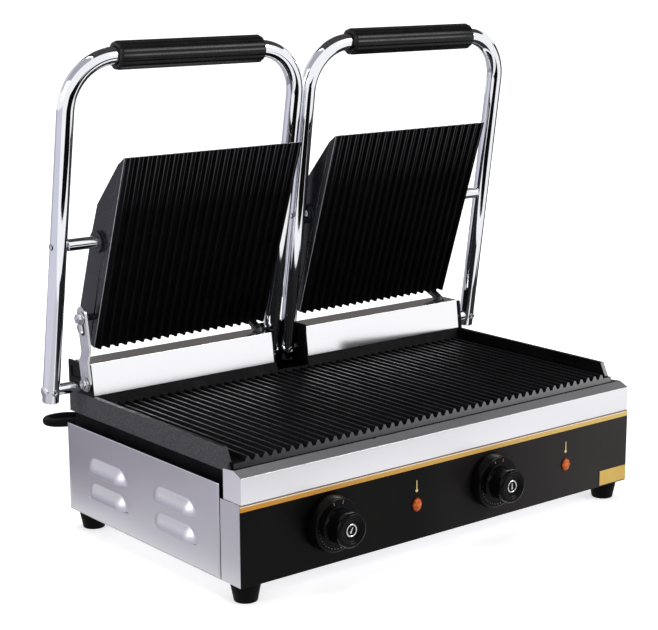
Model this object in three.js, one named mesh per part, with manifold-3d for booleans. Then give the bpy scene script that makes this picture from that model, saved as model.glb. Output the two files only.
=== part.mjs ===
// Double contact grill: a low steel body with a ribbed cast lower grill and two
// independent lids, each a ribbed cast plate hung in a tubular handle.
// Millimetres. +Z is up, the front faces -Y, and the origin lies on the surface
// that the feet stand on, under the middle of the grill.

import * as THREE from 'three';
import { mergeVertices } from 'three/addons/utils/BufferGeometryUtils.js';
import Module from 'manifold-3d';

const wasm = await Module();
wasm.setup();

// Clearances
const seat = 0.3; // gap between pieces that touch
const shaftFit = 0.3; // radial play of a turning shaft in its bore
const overrun = 3; // how far a cutter passes the faces that it cuts
const weldDistance = 0.0005; // vertices closer than this are one

// Body
const bodyWidth = 510;
const bodyDepth = 297;
const sheet = 1.2; // thickness of the steel sheet
const sidePanelHeight = 91.2;
const frontPanelHeight = 78;
const frontReturnDepth = 31; // how far the front panel wraps round the sides
const rearPanelHeight = 86;
const ledgeWidth = 13.8; // angle inside each side panel that carries the casting
const ledgeInset = 12; // its ends back from the side panel's ends
const footHeight = 19;
const footTopRadius = 14;
const footBottomRadius = 11;
const footRimHeight = 4;
const footSideInset = 17; // feet in from the body's sides
const footFrontInset = 17;
const footRearInset = 16;

// Louvres of the side panels
const louvreLength = 72;
const louvreHeight = 15;
const louvreDepth = 6;
const louvreShares = [0.357, 0.754]; // middles, back from the front, as shares of the depth
const louvreEdges = [23.5, 49.5]; // lower edges, up from the panel's foot

// Fascia
const fasciaThickness = 1;
const fasciaHeight = 77.7;
const blankPlateLength = 40;
const blankPlateHeight = 16;
const blankPlateThickness = 0.8;
const blankPlateLift = 1.5; // its lower edge above the fascia's
const blankPlateMargin = 1.5; // its end in from the fascia's end

// Knobs, thermostats and lamps
const knobShares = { left: -0.604, right: 0.2 }; // of the body's half width
const knobHeight = 42;
const knobGap = 2; // between the skirt and the fascia
const knobSkirtRadius = 27.5;
const knobSkirtTaper = 1.5;
const knobSkirtDepth = 12;
const knobCapRadius = 17;
const knobCapDepth = 21;
const knobCapRound = 2;
const knobBoreDepth = 18;
const spindleRadius = 3;
const spindleReach = 20; // into the thermostat
const spindleHoleRadius = 5;
const thermostatWidth = 42;
const thermostatHeight = 42;
const thermostatDepth = 30;
const lampShares = { left: -0.1784, right: 0.6314 };
const lampHeight = 35.5;
const lampWidth = 10;
const lampTall = 13;
const lampProud = 1.5;
const lampLip = 1; // how far the lens overlaps its hole
const lampBodyLength = 24;

// Grease tray
const trayEndInset = 1; // its ends in from the body's sides
const trayDepth = 27;
const trayFaceTop = 102.4; // where the front face turns into the lip
const trayLipTop = 108;
const trayLipDepth = 11;
const trayRearTop = 100;
const trayEndTop = 106.5;

// Lower grill casting
const castSideInset = 4.5; // the casting in from the body's sides
const castFront = 18.5;
const castRearOverhang = 1.7; // behind the rear panel
const castSkirtTop = 103;
const castSkirtInset = 3.5;
const castSkirtBottom = 87.5;
const castSkirtFront = 31.5;
const castSkirtRearInset = 4.7;
const castWall = 5;
const castRim = 125;
const ribTip = 116;
const ribDepth = 4.5;
const ribPitch = 10.1;
const ribTipWidth = 2.4;
const ribGrooveWidth = 3.4;
const ribEndMargin = 6; // clear of ribs beside the side walls
const wallStartY = 32; // where the side wall reaches its full height
const wallNoseY = 22.6;
const wallNoseZ = 106.4;
const wallLipZ = 105;
const ribRearInset = 30; // end of the ribs before the hinge line
const deckFrontInset = 25;
const deckStepZ = 113.5;
const deckThickness = 6;
const deckSlotBottom = 116.6; // floor of the slot for the inner handle arms

// Hinge line
const hingeInset = 17; // hinge line before the rear panel
const hingeZ = 132;
const shaftRadius = 6;
const bracketTop = 156.5;
const bracketFrontTopReach = 22.3; // before the hinge line
const bracketFrontFootReach = 26.5;
const bracketCheek = 2.1;
const bracketBlockFrontReach = 16;
const bracketBlockRearReach = 6; // behind the hinge line
const bracketBlockTop = 153;
const bracketBlockWidth = 9;
const bracketInset = 1; // depth of the recess in the outer cheek
const bracketInsetMargin = 5;
const bracketInsetFloor = 140;
const centreBracketWidth = 46;
const centreCheek = 2;
const centreBracketTop = 160;
const centreBracketFrontReach = 22;
const centreBracketRearReach = 17.6;
const coverFrontTopReach = 20.3;
const coverFrontFootReach = 24.4;
const coverTop = 157.6;
const coverBackReach = 8.5;
const coverBackFootReach = 17;
const springLength = 90;
const springRadius = 10;
const springPocketGap = 1.5; // clear space round the spring in the deck
const springPlace = 135; // middle of the spring from the centre

// Lids, in the plane of the handle with the hinge as origin
const innerArm = 12; // handle's arms from the centre of the grill
const outerArmGap = 27; // outer arm's axis beyond the body's side
const handleTube = 17;
const handleReach = 334; // hinge to the grip's axis
const handleBend = 50;
const handleFoot = 12; // arm below the hinge
const gripDiameter = 28;
const gripEndClearance = 0.5; // before the bends start
const gripFlutes = 16;
const fluteDepth = 0.9;
const rodRadius = 6;
const lidLean = { left: 9.9, right: 8.1 }; // degrees forward at rest
const plateLean = { left: 19.2, right: 18 };

// Upper plates, in the plate's own plane with the rod as origin
const plateInnerEdge = 25; // from the centre of the grill
const plateOuterInset = 13.5; // from the lower casting's side
const plateFrontInset = 28.2; // closed plate's front edge behind the fascia
const plateRearClearance = 41.4; // hinge to the plate's foot
const rodToPlateFoot = 109.4;
const rodToFace = 25.2;
const plateThickness = 12;
const plateShoulderDepth = 5.7;
const plateShoulderDrop = 3;
const plateBackDrop = 11;
const coverNoseDrop = 13.4;
const coverNoseDepth = 13.8;
const coverBendDrop = 66.7;
const coverBendDepth = 38;
const coverDepth = 40;
const coverFootChamfer = 4;
const coverWall = 5;
const bossRadius = 11;
const bossLength = 4;

// Tubular heaters
const heaterRadius = 3.2;
const heaterBend = 18;
const lowerHeaterInset = 34; // from the casting's walls to the tube
const upperHeaterInset = 22;

// Tilt lever at the left end
const leverPivotReach = 19.3; // before the hinge line
const leverPivotZ = 138;
const leverWidth = 16;
const leverThickness = 3;
const leverSlotStart = 48;
const leverSlotEnd = 69;
const leverTip = 77;
const leverSlotWidth = 8;
const leverCrank = 3.8; // sideways joggle towards the plate
const leverCrankStart = 22;
const leverCrankEnd = 32;
const leverPinDepth = 16; // pin back from the plate's face
const leverPinRise = 29.9; // pin above the plate's foot
const leverPinRadius = 3.5;
const pivotShankRadius = 3;
const pivotHeadRadius = 5;
const pivotHeadHeight = 4;

// Wire conduits between the covers and the upper plates
const conduitRadius = 4.5;
const conduitInset = 6; // from the plate's edge at +X
const conduitFootReach = 8; // before the hinge line
const conduitPlugRadius = 7;

// Supply lead and plug
const cordRadius = 4.5;
const cordSides = 10;
const glandX = -95;
const glandZ = 68;
const glandFlangeRadius = 12;
const glandFlangeLength = 4;
const glandNeckRadius = 8;
const glandLength = 32;
const glandTail = 8; // inside the rear panel
const coilX = 110;
const coilBehind = 93; // middle of the coil behind the rear panel
const coilRadius = 60;
const coilTurns = 3.5;
const coilPitch = 10.2; // steady change of radius in a turn
const coilLayer = 9.8;
const coilLift = 1.2; // the tie's band passes under the coil
const coilStepsPerTurn = 24;
const coilSides = 6;
const coilTailLength = 72;
const tieThickness = 0.8;
const tieWidth = 10;
const plugRadius = 18.5;
const plugBodyLength = 32;
const plugShoulderLength = 12;
const plugReliefLength = 24;
const plugReliefRadius = 7;
const plugPinRadius = 2.4;
const plugPinLength = 19;
const plugPinSpacing = 19;

// Terminal block
const terminalLength = 60;
const terminalDepth = 20;
const terminalHeight = 18;
const terminalX = -95;
const terminalInset = 57; // before the rear panel

// Materials
function material(color, roughness, metalness) {
  return new THREE.MeshStandardMaterial({ color, roughness, metalness });
}

const looks = {
  steel: () => material('#b9b7bd', 0.38, 1),
  brightSteel: () => material('#e4e4e8', 0.25, 1),
  chrome: () => material('#d6d8dc', 0.12, 1),
  castIron: () => material('#2b2b2f', 0.75, 0.3),
  blackPaint: () => material('#17171a', 0.45, 0.1),
  blackPlastic: () => material('#121214', 0.35, 0),
  rubber: () => material('#1b1b1c', 0.8, 0),
  fascia: () => material('#1d1d22', 0.4, 0),
  gold: () => material('#e0a63e', 0.45, 0),
  amber: () => material('#e0661c', 0.25, 0),
  heater: () => material('#6a6660', 0.5, 0.8),
  brass: () => material('#b99a55', 0.35, 1),
};

// Solids and meshes
function toSolid(geometry) {
  const bare = geometry.clone();
  bare.deleteAttribute('normal');
  bare.deleteAttribute('uv');
  const welded = mergeVertices(bare, weldDistance);
  return new wasm.Manifold(new wasm.Mesh({
    numProp: 3,
    vertProperties: new Float32Array(welded.attributes.position.array),
    triVerts: new Uint32Array(welded.index.array),
  }));
}

function toGeometry(solid) {
  const { vertProperties, triVerts } = solid.getMesh();
  const geometry = new THREE.BufferGeometry();
  geometry.setAttribute('position', new THREE.BufferAttribute(vertProperties, 3));
  geometry.setIndex(new THREE.BufferAttribute(triVerts, 1));
  return geometry;
}

function joined(...geometries) {
  const [first, ...rest] = geometries.map(toSolid);
  return toGeometry(rest.reduce((sum, piece) => sum.add(piece), first));
}

function cut(geometry, ...cutters) {
  return toGeometry(cutters.map(toSolid).reduce((left, cutter) => left.subtract(cutter), toSolid(geometry)));
}

function common(first, second) {
  return toGeometry(toSolid(first).intersect(toSolid(second)));
}

function mesh(name, geometry, look) {
  const piece = new THREE.Mesh(geometry, looks[look]());
  piece.name = name;
  return piece;
}

// Plain shapes, each given by its limits
function block([x0, x1], [y0, y1], [z0, z1]) {
  const geometry = new THREE.BoxGeometry(x1 - x0, y1 - y0, z1 - z0);
  return geometry.translate((x0 + x1) / 2, (y0 + y1) / 2, (z0 + z1) / 2);
}

function pinX([x0, x1], y, z, radius, sides = 20) {
  const geometry = new THREE.CylinderGeometry(radius, radius, x1 - x0, sides);
  return geometry.rotateZ(Math.PI / 2).translate((x0 + x1) / 2, y, z);
}

function pinY(x, [y0, y1], z, radius, sides = 20) {
  const geometry = new THREE.CylinderGeometry(radius, radius, y1 - y0, sides);
  return geometry.translate(x, (y0 + y1) / 2, z);
}

function outline(points, ...holes) {
  const shape = new THREE.Shape(points.map(([a, b]) => new THREE.Vector2(a, b)));
  shape.holes = holes;
  return shape;
}

// An outline in Y and Z, drawn out along X
function prismX(shape, [x0, x1], curveSegments = 6) {
  const geometry = new THREE.ExtrudeGeometry(shape, { depth: x1 - x0, bevelEnabled: false, curveSegments });
  const turn = new THREE.Matrix4().makeBasis(
    new THREE.Vector3(0, 1, 0), new THREE.Vector3(0, 0, 1), new THREE.Vector3(1, 0, 0));
  return geometry.applyMatrix4(turn).translate(x0, 0, 0);
}

// An outline in X and Z, drawn out along Y
function prismY(shape, [y0, y1], curveSegments = 6) {
  const geometry = new THREE.ExtrudeGeometry(shape, { depth: y1 - y0, bevelEnabled: false, curveSegments });
  return geometry.rotateX(Math.PI / 2).translate(0, y1, 0);
}

// An outline in X and Y, drawn out along Z
function prismZ(shape, [z0, z1], curveSegments = 6) {
  const geometry = new THREE.ExtrudeGeometry(shape, { depth: z1 - z0, bevelEnabled: false, curveSegments });
  return geometry.translate(0, 0, z0);
}

// A round profile of [radius, distance] points, turned round the Y axis
function turned(points, sides = 28) {
  return new THREE.LatheGeometry(points.map(([r, d]) => new THREE.Vector2(r, d)), sides);
}

function circleHole(radius, x = 0, y = 0) {
  return new THREE.Path().absarc(x, y, radius, 0, 2 * Math.PI, true);
}

// A route whose stations are the places where the tube has a ring
class StationRoute extends THREE.Curve {
  constructor(stations) {
    super();
    this.stations = stations;
  }

  getPoint(share, target = new THREE.Vector3()) {
    const last = this.stations.length - 1;
    const place = Math.min(Math.max(share * last, 0), last);
    const before = Math.min(Math.floor(place), last - 1);
    return target.lerpVectors(this.stations[before], this.stations[before + 1], place - before);
  }

  getPointAt(share, target) {
    return this.getPoint(share, target);
  }

  getTangentAt(share, target = new THREE.Vector3()) {
    const last = this.stations.length - 1;
    const index = Math.round(share * last);
    const before = this.stations[Math.max(index - 1, 0)];
    const after = this.stations[Math.min(index + 1, last)];
    return target.subVectors(after, before).normalize();
  }
}

function tube(stations, radius, sides) {
  const section = new THREE.Shape();
  for (let side = 0; side < sides; side += 1) {
    const angle = 2 * Math.PI * side / sides;
    const place = [radius * Math.cos(angle), radius * Math.sin(angle)];
    if (side === 0) section.moveTo(...place);
    else section.lineTo(...place);
  }
  return new THREE.ExtrudeGeometry(section, {
    steps: stations.length - 1,
    extrudePath: new StationRoute(stations),
  });
}

// Stations along straight runs joined by arcs
function roundedRoute(corners, bend, arcSteps, straightStep = Infinity) {
  const stations = [corners[0].clone()];
  const runTo = (end) => {
    const start = stations[stations.length - 1];
    const pieces = Math.max(1, Math.ceil(start.distanceTo(end) / straightStep));
    const from = start.clone();
    for (let piece = 1; piece <= pieces; piece += 1) {
      stations.push(new THREE.Vector3().lerpVectors(from, end, piece / pieces));
    }
  };
  for (let i = 1; i < corners.length - 1; i += 1) {
    const into = new THREE.Vector3().subVectors(corners[i], corners[i - 1]).normalize();
    const out = new THREE.Vector3().subVectors(corners[i + 1], corners[i]).normalize();
    const turn = into.angleTo(out);
    const setback = bend * Math.tan(turn / 2);
    const start = corners[i].clone().addScaledVector(into, -setback);
    const toCentre = out.clone().addScaledVector(into, -into.dot(out)).normalize();
    const centre = start.clone().addScaledVector(toCentre, bend);
    runTo(start);
    for (let step = 1; step <= arcSteps; step += 1) {
      const angle = turn * step / arcSteps;
      stations.push(centre.clone()
        .addScaledVector(toCentre, -bend * Math.cos(angle))
        .addScaledVector(into, bend * Math.sin(angle)));
    }
  }
  runTo(corners[corners.length - 1]);
  return stations;
}

// Values that several pieces share
const sides = { left: -1, right: 1 };
const halfWidth = bodyWidth / 2;
const halfCast = halfWidth - castSideInset;
const castRear = bodyDepth + castRearOverhang;
const castSkirtRear = castRear - castSkirtRearInset;
const trayBottom = frontPanelHeight + seat;
const panelInner = halfWidth - sheet;
const frontSheetY = fasciaThickness + seat;
const innerDepth = bodyDepth - sheet - seat;
const ledgeTop = castSkirtBottom - seat;
const hingeY = bodyDepth - hingeInset;
const ribRear = hingeY - ribRearInset;
const deckFront = hingeY - deckFrontInset;
const leverPivotY = hingeY - leverPivotReach;
const outerArm = halfWidth + outerArmGap;
const lidPlace = (outerArm + innerArm) / 2;
const armPlace = (outerArm - innerArm) / 2;
const plateOuterEdge = halfCast - plateOuterInset;
const platePlace = (plateOuterEdge + plateInnerEdge) / 2;
const plateWidth = plateOuterEdge - plateInnerEdge;
const plateHeight = hingeY - plateRearClearance - plateFrontInset;
const plateTopReach = plateHeight - rodToPlateFoot;
const rodReach = plateRearClearance + rodToPlateFoot;
const gripLength = 2 * (armPlace - handleBend - gripEndClearance);
const coilY = bodyDepth + coilBehind;
const knobPlaces = spread(knobShares);
const lampPlaces = spread(lampShares);
const armRadius = handleTube / 2;
const coverInnerEnd = centreBracketWidth / 2 + seat;
const coverOuterEnd = halfCast - bracketCheek - seat;
const shaftBore = shaftRadius + shaftFit;
const rodBore = rodRadius + shaftFit;

// Places across the body from their shares of its half width
function spread(shares) {
  return { left: halfWidth * shares.left, right: halfWidth * shares.right };
}

// Body panels
function basePlate() {
  const width = panelInner - seat;
  return block([-width, width], [frontSheetY + sheet + seat, innerDepth], [0, sheet]);
}

function louvreHood(side, inset) {
  const radius = louvreHeight - inset;
  const hood = new THREE.CapsuleGeometry(radius, louvreLength - 2 * louvreHeight, 3, 12);
  hood.scale((louvreDepth - inset) / radius, 1, 1);
  const reach = louvreLength;
  const keep = block([-reach, reach], [-reach, reach], [0, reach]);
  return common(hood, keep).translate(side * halfWidth, 0, 0);
}

function sidePanel(side) {
  const outer = side * halfWidth;
  const inner = side * panelInner;
  const start = frontReturnDepth + seat;
  const thickness = [Math.min(outer, inner), Math.max(outer, inner)];
  let panel = block(thickness, [start, bodyDepth], [0, sidePanelHeight]);
  const ledgeEdge = side * (panelInner - ledgeWidth);
  const ledge = block(
    [Math.min(outer, ledgeEdge), Math.max(outer, ledgeEdge)],
    [start + ledgeInset, bodyDepth - ledgeInset],
    [ledgeTop - sheet, ledgeTop]);
  panel = joined(panel, ledge);
  for (const share of louvreShares) {
    const y = bodyDepth * share;
    for (const z of louvreEdges) {
      const outside = louvreHood(side, 0).translate(0, y, z);
      const inside = louvreHood(side, sheet).translate(0, y, z);
      panel = cut(joined(panel, outside), inside);
    }
  }
  return panel;
}

function rearPanel() {
  const width = panelInner - seat;
  const plate = block([-width, width], [bodyDepth - sheet, bodyDepth], [0, rearPanelHeight]);
  const through = [bodyDepth - sheet - overrun, bodyDepth + overrun];
  const hole = pinY(glandX, through, glandZ, glandNeckRadius + seat);
  return cut(plate, hole);
}

function frontPanel() {
  const face = block([-halfWidth, halfWidth], [frontSheetY, frontReturnDepth], [0, frontPanelHeight]);
  const inside = block(
    [-panelInner, panelInner],
    [frontSheetY + sheet, frontReturnDepth + overrun],
    [-overrun, frontPanelHeight - sheet]);
  const holes = Object.values(knobPlaces).map((x) => spindleHole(x));
  return cut(face, inside, ...holes, ...Object.values(lampPlaces).map((x) => lampHole(x)));
}

function spindleHole(x) {
  return pinY(x, [-overrun, frontSheetY + sheet + overrun], knobHeight, spindleHoleRadius);
}

function lampHole(x) {
  const grow = seat;
  return lampOval(x, [-overrun, frontSheetY + sheet + overrun], lampWidth / 2 + grow, lampTall / 2 + grow);
}

function lampOval(x, [y0, y1], halfX, halfZ) {
  const oval = new THREE.CylinderGeometry(1, 1, y1 - y0, 20);
  return oval.scale(halfX, 1, halfZ).translate(x, (y0 + y1) / 2, lampHeight);
}

function fascia() {
  const plate = block([-halfWidth, halfWidth], [0, fasciaThickness], [0, fasciaHeight]);
  const holes = Object.values(knobPlaces).map((x) => spindleHole(x));
  return cut(plate, ...holes, ...Object.values(lampPlaces).map((x) => lampHole(x)));
}

function blankPlate() {
  const end = halfWidth - blankPlateMargin;
  return block(
    [end - blankPlateLength, end],
    [-seat - blankPlateThickness, -seat],
    [blankPlateLift, blankPlateLift + blankPlateHeight]);
}

function foot() {
  const profile = [
    [0, 0],
    [footBottomRadius, 0],
    [footTopRadius, footHeight - footRimHeight],
    [footTopRadius, footHeight - seat],
    [0, footHeight - seat],
  ];
  return turned(profile, 20).rotateX(Math.PI / 2).translate(0, 0, -footHeight);
}

// Controls
function knob(x) {
  const skirtTop = knobGap + knobSkirtDepth;
  const capTop = skirtTop + knobCapDepth;
  const profile = [
    [0, knobGap],
    [knobSkirtRadius, knobGap],
    [knobSkirtRadius - knobSkirtTaper, skirtTop],
    [knobCapRadius, skirtTop],
    [knobCapRadius - knobCapRound / 2, capTop - knobCapRound],
    [knobCapRadius - knobCapRound, capTop],
    [0, capTop],
  ];
  const body = turned(profile, 36).rotateX(Math.PI);
  const bore = pinY(0, [-knobGap - knobBoreDepth, overrun], 0, spindleRadius + seat);
  return cut(body, bore).translate(x, 0, knobHeight);
}

function spindle(x) {
  const tip = knobGap + knobBoreDepth - seat;
  return pinY(x, [-tip, frontSheetY + sheet + seat + spindleReach], knobHeight, spindleRadius, 12);
}

function thermostat(x) {
  const front = frontSheetY + sheet + seat;
  const body = block(
    [x - thermostatWidth / 2, x + thermostatWidth / 2],
    [front, front + thermostatDepth],
    [knobHeight - thermostatHeight / 2, knobHeight + thermostatHeight / 2]);
  const bore = pinY(x, [front - overrun, front + spindleReach + seat], knobHeight, spindleRadius + shaftFit, 12);
  return cut(body, bore);
}

function lamp(x) {
  const lens = lampOval(x, [-lampProud - seat, -seat], lampWidth / 2 + lampLip, lampTall / 2 + lampLip);
  const barrel = lampOval(x, [-lampProud, lampBodyLength], lampWidth / 2, lampTall / 2);
  return joined(lens, barrel);
}

// Grease tray
function greaseTray() {
  const half = halfWidth - trayEndInset;
  const floor = trayBottom + sheet;
  const rear = trayDepth - sheet;
  const section = outline([
    [0, trayBottom],
    [trayDepth, trayBottom],
    [trayDepth, trayRearTop],
    [rear, trayRearTop],
    [rear, floor],
    [sheet, floor],
    [sheet, trayFaceTop],
    [trayLipDepth, trayLipTop - sheet],
    [trayLipDepth, trayLipTop],
    [0, trayFaceTop + sheet / 2],
  ]);
  const end = outline([
    [0, trayBottom],
    [trayDepth, trayBottom],
    [trayDepth, trayEndTop],
    [trayLipDepth, trayLipTop],
    [0, trayFaceTop + sheet / 2],
  ]);
  return joined(
    prismX(section, [-half, half]),
    prismX(end, [-half, sheet - half]),
    prismX(end, [half - sheet, half]));
}

// How many ribs have room in a width, groove to groove
function ribCount(width) {
  return Math.floor((width + ribGrooveWidth) / ribPitch);
}

// Ribs stand side by side on a slab: tips at height 0, the slab's back at -depth
function ribOutline(count, width, depth) {
  const slope = (ribPitch - ribTipWidth - ribGrooveWidth) / 2;
  const points = [[-width / 2, -depth], [width / 2, -depth], [width / 2, -ribDepth]];
  for (let rib = count - 1; rib >= 0; rib -= 1) {
    const middle = (rib - (count - 1) / 2) * ribPitch;
    points.push([middle + ribTipWidth / 2 + slope, -ribDepth]);
    points.push([middle + ribTipWidth / 2, 0]);
    points.push([middle - ribTipWidth / 2, 0]);
    points.push([middle - ribTipWidth / 2 - slope, -ribDepth]);
  }
  points.push([-width / 2, -ribDepth]);
  return outline(points);
}

// Lower grill casting
function lowerGrill() {
  const inner = halfCast - castWall;
  const ribWidth = 2 * inner + castWall;
  const count = ribCount(2 * (inner - ribEndMargin));
  const ribs = prismY(ribOutline(count, ribWidth, ribTip - castSkirtTop), [castFront, deckFront])
    .translate(0, 0, ribTip);
  const wallSection = outline([
    [castFront, castSkirtTop],
    [castRear, castSkirtTop],
    [castRear, castRim],
    [wallStartY, castRim],
    [wallNoseY, wallNoseZ],
    [castFront, wallLipZ],
  ]);
  const deckSection = outline([
    [ribRear, castSkirtTop],
    [deckFront, castSkirtTop],
    [deckFront, castRim - deckThickness],
    [castRear - castWall, castRim - deckThickness],
    [castRear - castWall, castSkirtTop],
    [castRear, castSkirtTop],
    [castRear, castRim],
    [deckFront, castRim],
    [ribRear, deckStepZ],
  ]);
  const skirtHalf = halfCast - castSkirtInset;
  const skirtTop = castSkirtTop + castWall / 2;
  const skirt = cut(
    block([-skirtHalf, skirtHalf], [castSkirtFront, castSkirtRear], [castSkirtBottom, castSkirtTop + seat]),
    block(
      [castWall - skirtHalf, skirtHalf - castWall],
      [castSkirtFront + castWall, castSkirtRear - castWall],
      [castSkirtBottom - overrun, skirtTop]));
  const rearStrip = block(
    [-skirtHalf, skirtHalf], [castSkirtRear - castWall, castRear], [castSkirtTop, castSkirtTop + castWall]);
  const casting = joined(
    ribs,
    prismX(wallSection, [-halfCast, -inner]),
    prismX(wallSection, [inner, halfCast]),
    prismX(deckSection, [-halfCast, halfCast]),
    skirt,
    rearStrip);
  const slotHalf = innerArm + armRadius + seat;
  const slotRear = hingeY + Math.hypot(handleFoot, armRadius) + seat;
  const slot = block([-slotHalf, slotHalf], [ribRear - overrun, slotRear], [deckSlotBottom, castRim + overrun]);
  return cut(casting, slot, springPocket(-1), springPocket(1));
}

function springPocket(side) {
  const middle = side * springPlace;
  const half = springLength / 2 + springPocketGap;
  const halfY = springRadius + springPocketGap;
  const floor = hingeZ - springRadius - springPocketGap;
  return block([middle - half, middle + half], [hingeY - halfY, hingeY + halfY], [floor, castRim + overrun]);
}

// A heating tube bent into four legs, in X and Y at height 0
function heaterLoop(halfX, halfY, radius) {
  const leg = halfX / 3;
  const corners = [
    [-halfX, -halfY],
    [-halfX, halfY],
    [-leg, halfY],
    [-leg, -halfY],
    [leg, -halfY],
    [leg, halfY],
    [halfX, halfY],
    [halfX, -halfY],
  ].map(([x, y]) => new THREE.Vector3(x, y, 0));
  return tube(roundedRoute(corners, heaterBend, 4), radius, 8);
}

function lowerHeater(side) {
  const half = (halfCast - castWall) / 2;
  const halfY = (ribRear - castSkirtFront) / 2 - lowerHeaterInset / 2;
  const middleY = (ribRear + castSkirtFront) / 2;
  return heaterLoop(half - lowerHeaterInset, halfY - heaterRadius, heaterRadius)
    .translate(side * half, middleY, castSkirtTop - seat - heaterRadius);
}

// Hinge brackets and covers
function sideBracket(side) {
  const outer = halfCast;
  const inner = halfCast - bracketCheek;
  const cheek = outline([
    [hingeY - bracketFrontFootReach, castRim + seat],
    [castRear, castRim + seat],
    [castRear, bracketTop],
    [hingeY - bracketFrontTopReach, bracketTop],
  ]);
  const recess = block(
    [outer - bracketInset, outer + overrun],
    [leverPivotY + leverWidth / 2 + bracketInsetMargin, castRear - bracketInsetMargin],
    [bracketInsetFloor, bracketTop - bracketInsetMargin]);
  const bodyBlock = block(
    [inner - bracketBlockWidth, inner + bracketCheek / 2],
    [hingeY - bracketBlockFrontReach, hingeY + bracketBlockRearReach],
    [castRim + seat, bracketBlockTop]);
  const bracket = cut(
    joined(prismX(cheek, [inner, outer]), bodyBlock),
    recess,
    pinX([inner - bracketBlockWidth - overrun, outer + overrun], hingeY, hingeZ, shaftBore),
    pinX([inner - bracketBlockWidth - overrun, outer + overrun], leverPivotY, leverPivotZ, pivotShankRadius + seat, 12));
  return side > 0 ? bracket : mirrored(bracket);
}

function mirrored(geometry) {
  const copy = geometry.clone().applyMatrix4(new THREE.Matrix4().makeScale(-1, 1, 1));
  const index = copy.index.array;
  for (let i = 0; i < index.length; i += 3) {
    [index[i + 1], index[i + 2]] = [index[i + 2], index[i + 1]];
  }
  return copy;
}

function centreBracket() {
  const half = centreBracketWidth / 2;
  const front = hingeY - centreBracketFrontReach;
  const rear = hingeY + centreBracketRearReach;
  const channel = block([-half, half], [front, rear], [castRim + seat, centreBracketTop]);
  const inside = block(
    [centreCheek - half, half - centreCheek],
    [front - overrun, rear - centreCheek],
    [castRim - overrun, centreBracketTop + overrun]);
  return cut(channel, inside, pinX([-half - overrun, half + overrun], hingeY, hingeZ, shaftBore));
}

function conduitX(side) {
  return side * platePlace + plateWidth / 2 - conduitInset;
}

function hingeCover(side) {
  const foot = castRim + seat;
  const frontFoot = hingeY - coverFrontFootReach;
  const frontTop = hingeY - coverFrontTopReach;
  const backTop = hingeY + coverBackReach;
  const backFoot = hingeY + coverBackFootReach;
  const section = outline([
    [frontFoot, foot],
    [frontFoot + sheet, foot],
    [frontTop + sheet, coverTop - sheet],
    [backTop - sheet, coverTop - sheet],
    [backFoot - sheet, foot],
    [backFoot, foot],
    [backTop, coverTop],
    [frontTop, coverTop],
  ]);
  const ends = [side * coverInnerEnd, side * coverOuterEnd].sort((a, b) => a - b);
  const hole = new THREE.CylinderGeometry(conduitPlugRadius, conduitPlugRadius, 2 * overrun, 16)
    .rotateX(Math.PI / 2)
    .translate(conduitX(side), hingeY - conduitFootReach, coverTop);
  return cut(prismX(section, ends), hole);
}

function hingeShaft(side) {
  const ends = [side * (innerArm - armRadius), side * (outerArm + armRadius)].sort((a, b) => a - b);
  return pinX(ends, hingeY, hingeZ, shaftRadius);
}

function torsionSpring(side) {
  const middle = side * springPlace;
  const ends = [middle - springLength / 2, middle + springLength / 2];
  const bore = pinX([ends[0] - overrun, ends[1] + overrun], hingeY, hingeZ, shaftBore);
  return cut(pinX(ends, hingeY, hingeZ, springRadius), bore);
}

// Lid pieces
function handle() {
  const corners = [
    [-armPlace, -handleFoot],
    [-armPlace, handleReach],
    [armPlace, handleReach],
    [armPlace, -handleFoot],
  ].map(([x, z]) => new THREE.Vector3(x, 0, z));
  const bar = tube(roundedRoute(corners, handleBend, 7), armRadius, 14);
  const across = armPlace + handleTube;
  return cut(bar, pinX([-across, across], 0, 0, shaftRadius + seat));
}

function grip() {
  const outer = gripDiameter / 2;
  const points = [];
  for (let i = 0; i < 2 * gripFlutes; i += 1) {
    const angle = Math.PI * i / gripFlutes;
    const radius = i % 2 === 0 ? outer : outer - fluteDepth;
    points.push([radius * Math.cos(angle), radius * Math.sin(angle)]);
  }
  const ring = outline(points, circleHole(armRadius + seat));
  return prismX(ring, [-gripLength / 2, gripLength / 2], 7).translate(0, 0, handleReach);
}

function plateRod() {
  const half = armPlace - armRadius - seat;
  return pinX([-half, half], 0, 0, rodRadius);
}

// Upper plate pieces, with the face towards -Y and the rod along X at the origin
function plateFaceOutline() {
  const face = -rodToFace;
  const top = plateTopReach;
  const foot = -rodToPlateFoot;
  return outline([
    [face, foot],
    [face + plateThickness, foot],
    [face + plateThickness, top - plateBackDrop],
    [face + plateShoulderDepth, top - plateShoulderDrop],
    [face, top],
  ]);
}

function upperGrill() {
  const foot = -rodToPlateFoot;
  const slab = prismZ(ribOutline(ribCount(plateWidth), plateWidth, plateThickness), [foot, plateTopReach])
    .rotateZ(Math.PI)
    .translate(0, -rodToFace, 0);
  return common(slab, prismX(plateFaceOutline(), [-plateWidth, plateWidth]));
}

function coverOutline(inset) {
  const face = -rodToFace;
  const top = plateTopReach;
  const foot = -rodToPlateFoot;
  const front = face + plateThickness + seat;
  return outline([
    [front - (inset > 0 ? overrun : 0), foot + inset],
    [face + coverDepth - coverFootChamfer - inset, foot + inset],
    [face + coverDepth - inset, foot + coverFootChamfer + inset],
    [face + coverDepth - inset, 0],
    [face + coverBendDepth - inset, top - coverBendDrop - inset / 2],
    [face + coverNoseDepth, top - coverNoseDrop - 2 * inset],
    [front - (inset > 0 ? overrun : 0), top - plateBackDrop - 2 * inset],
  ]);
}

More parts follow.
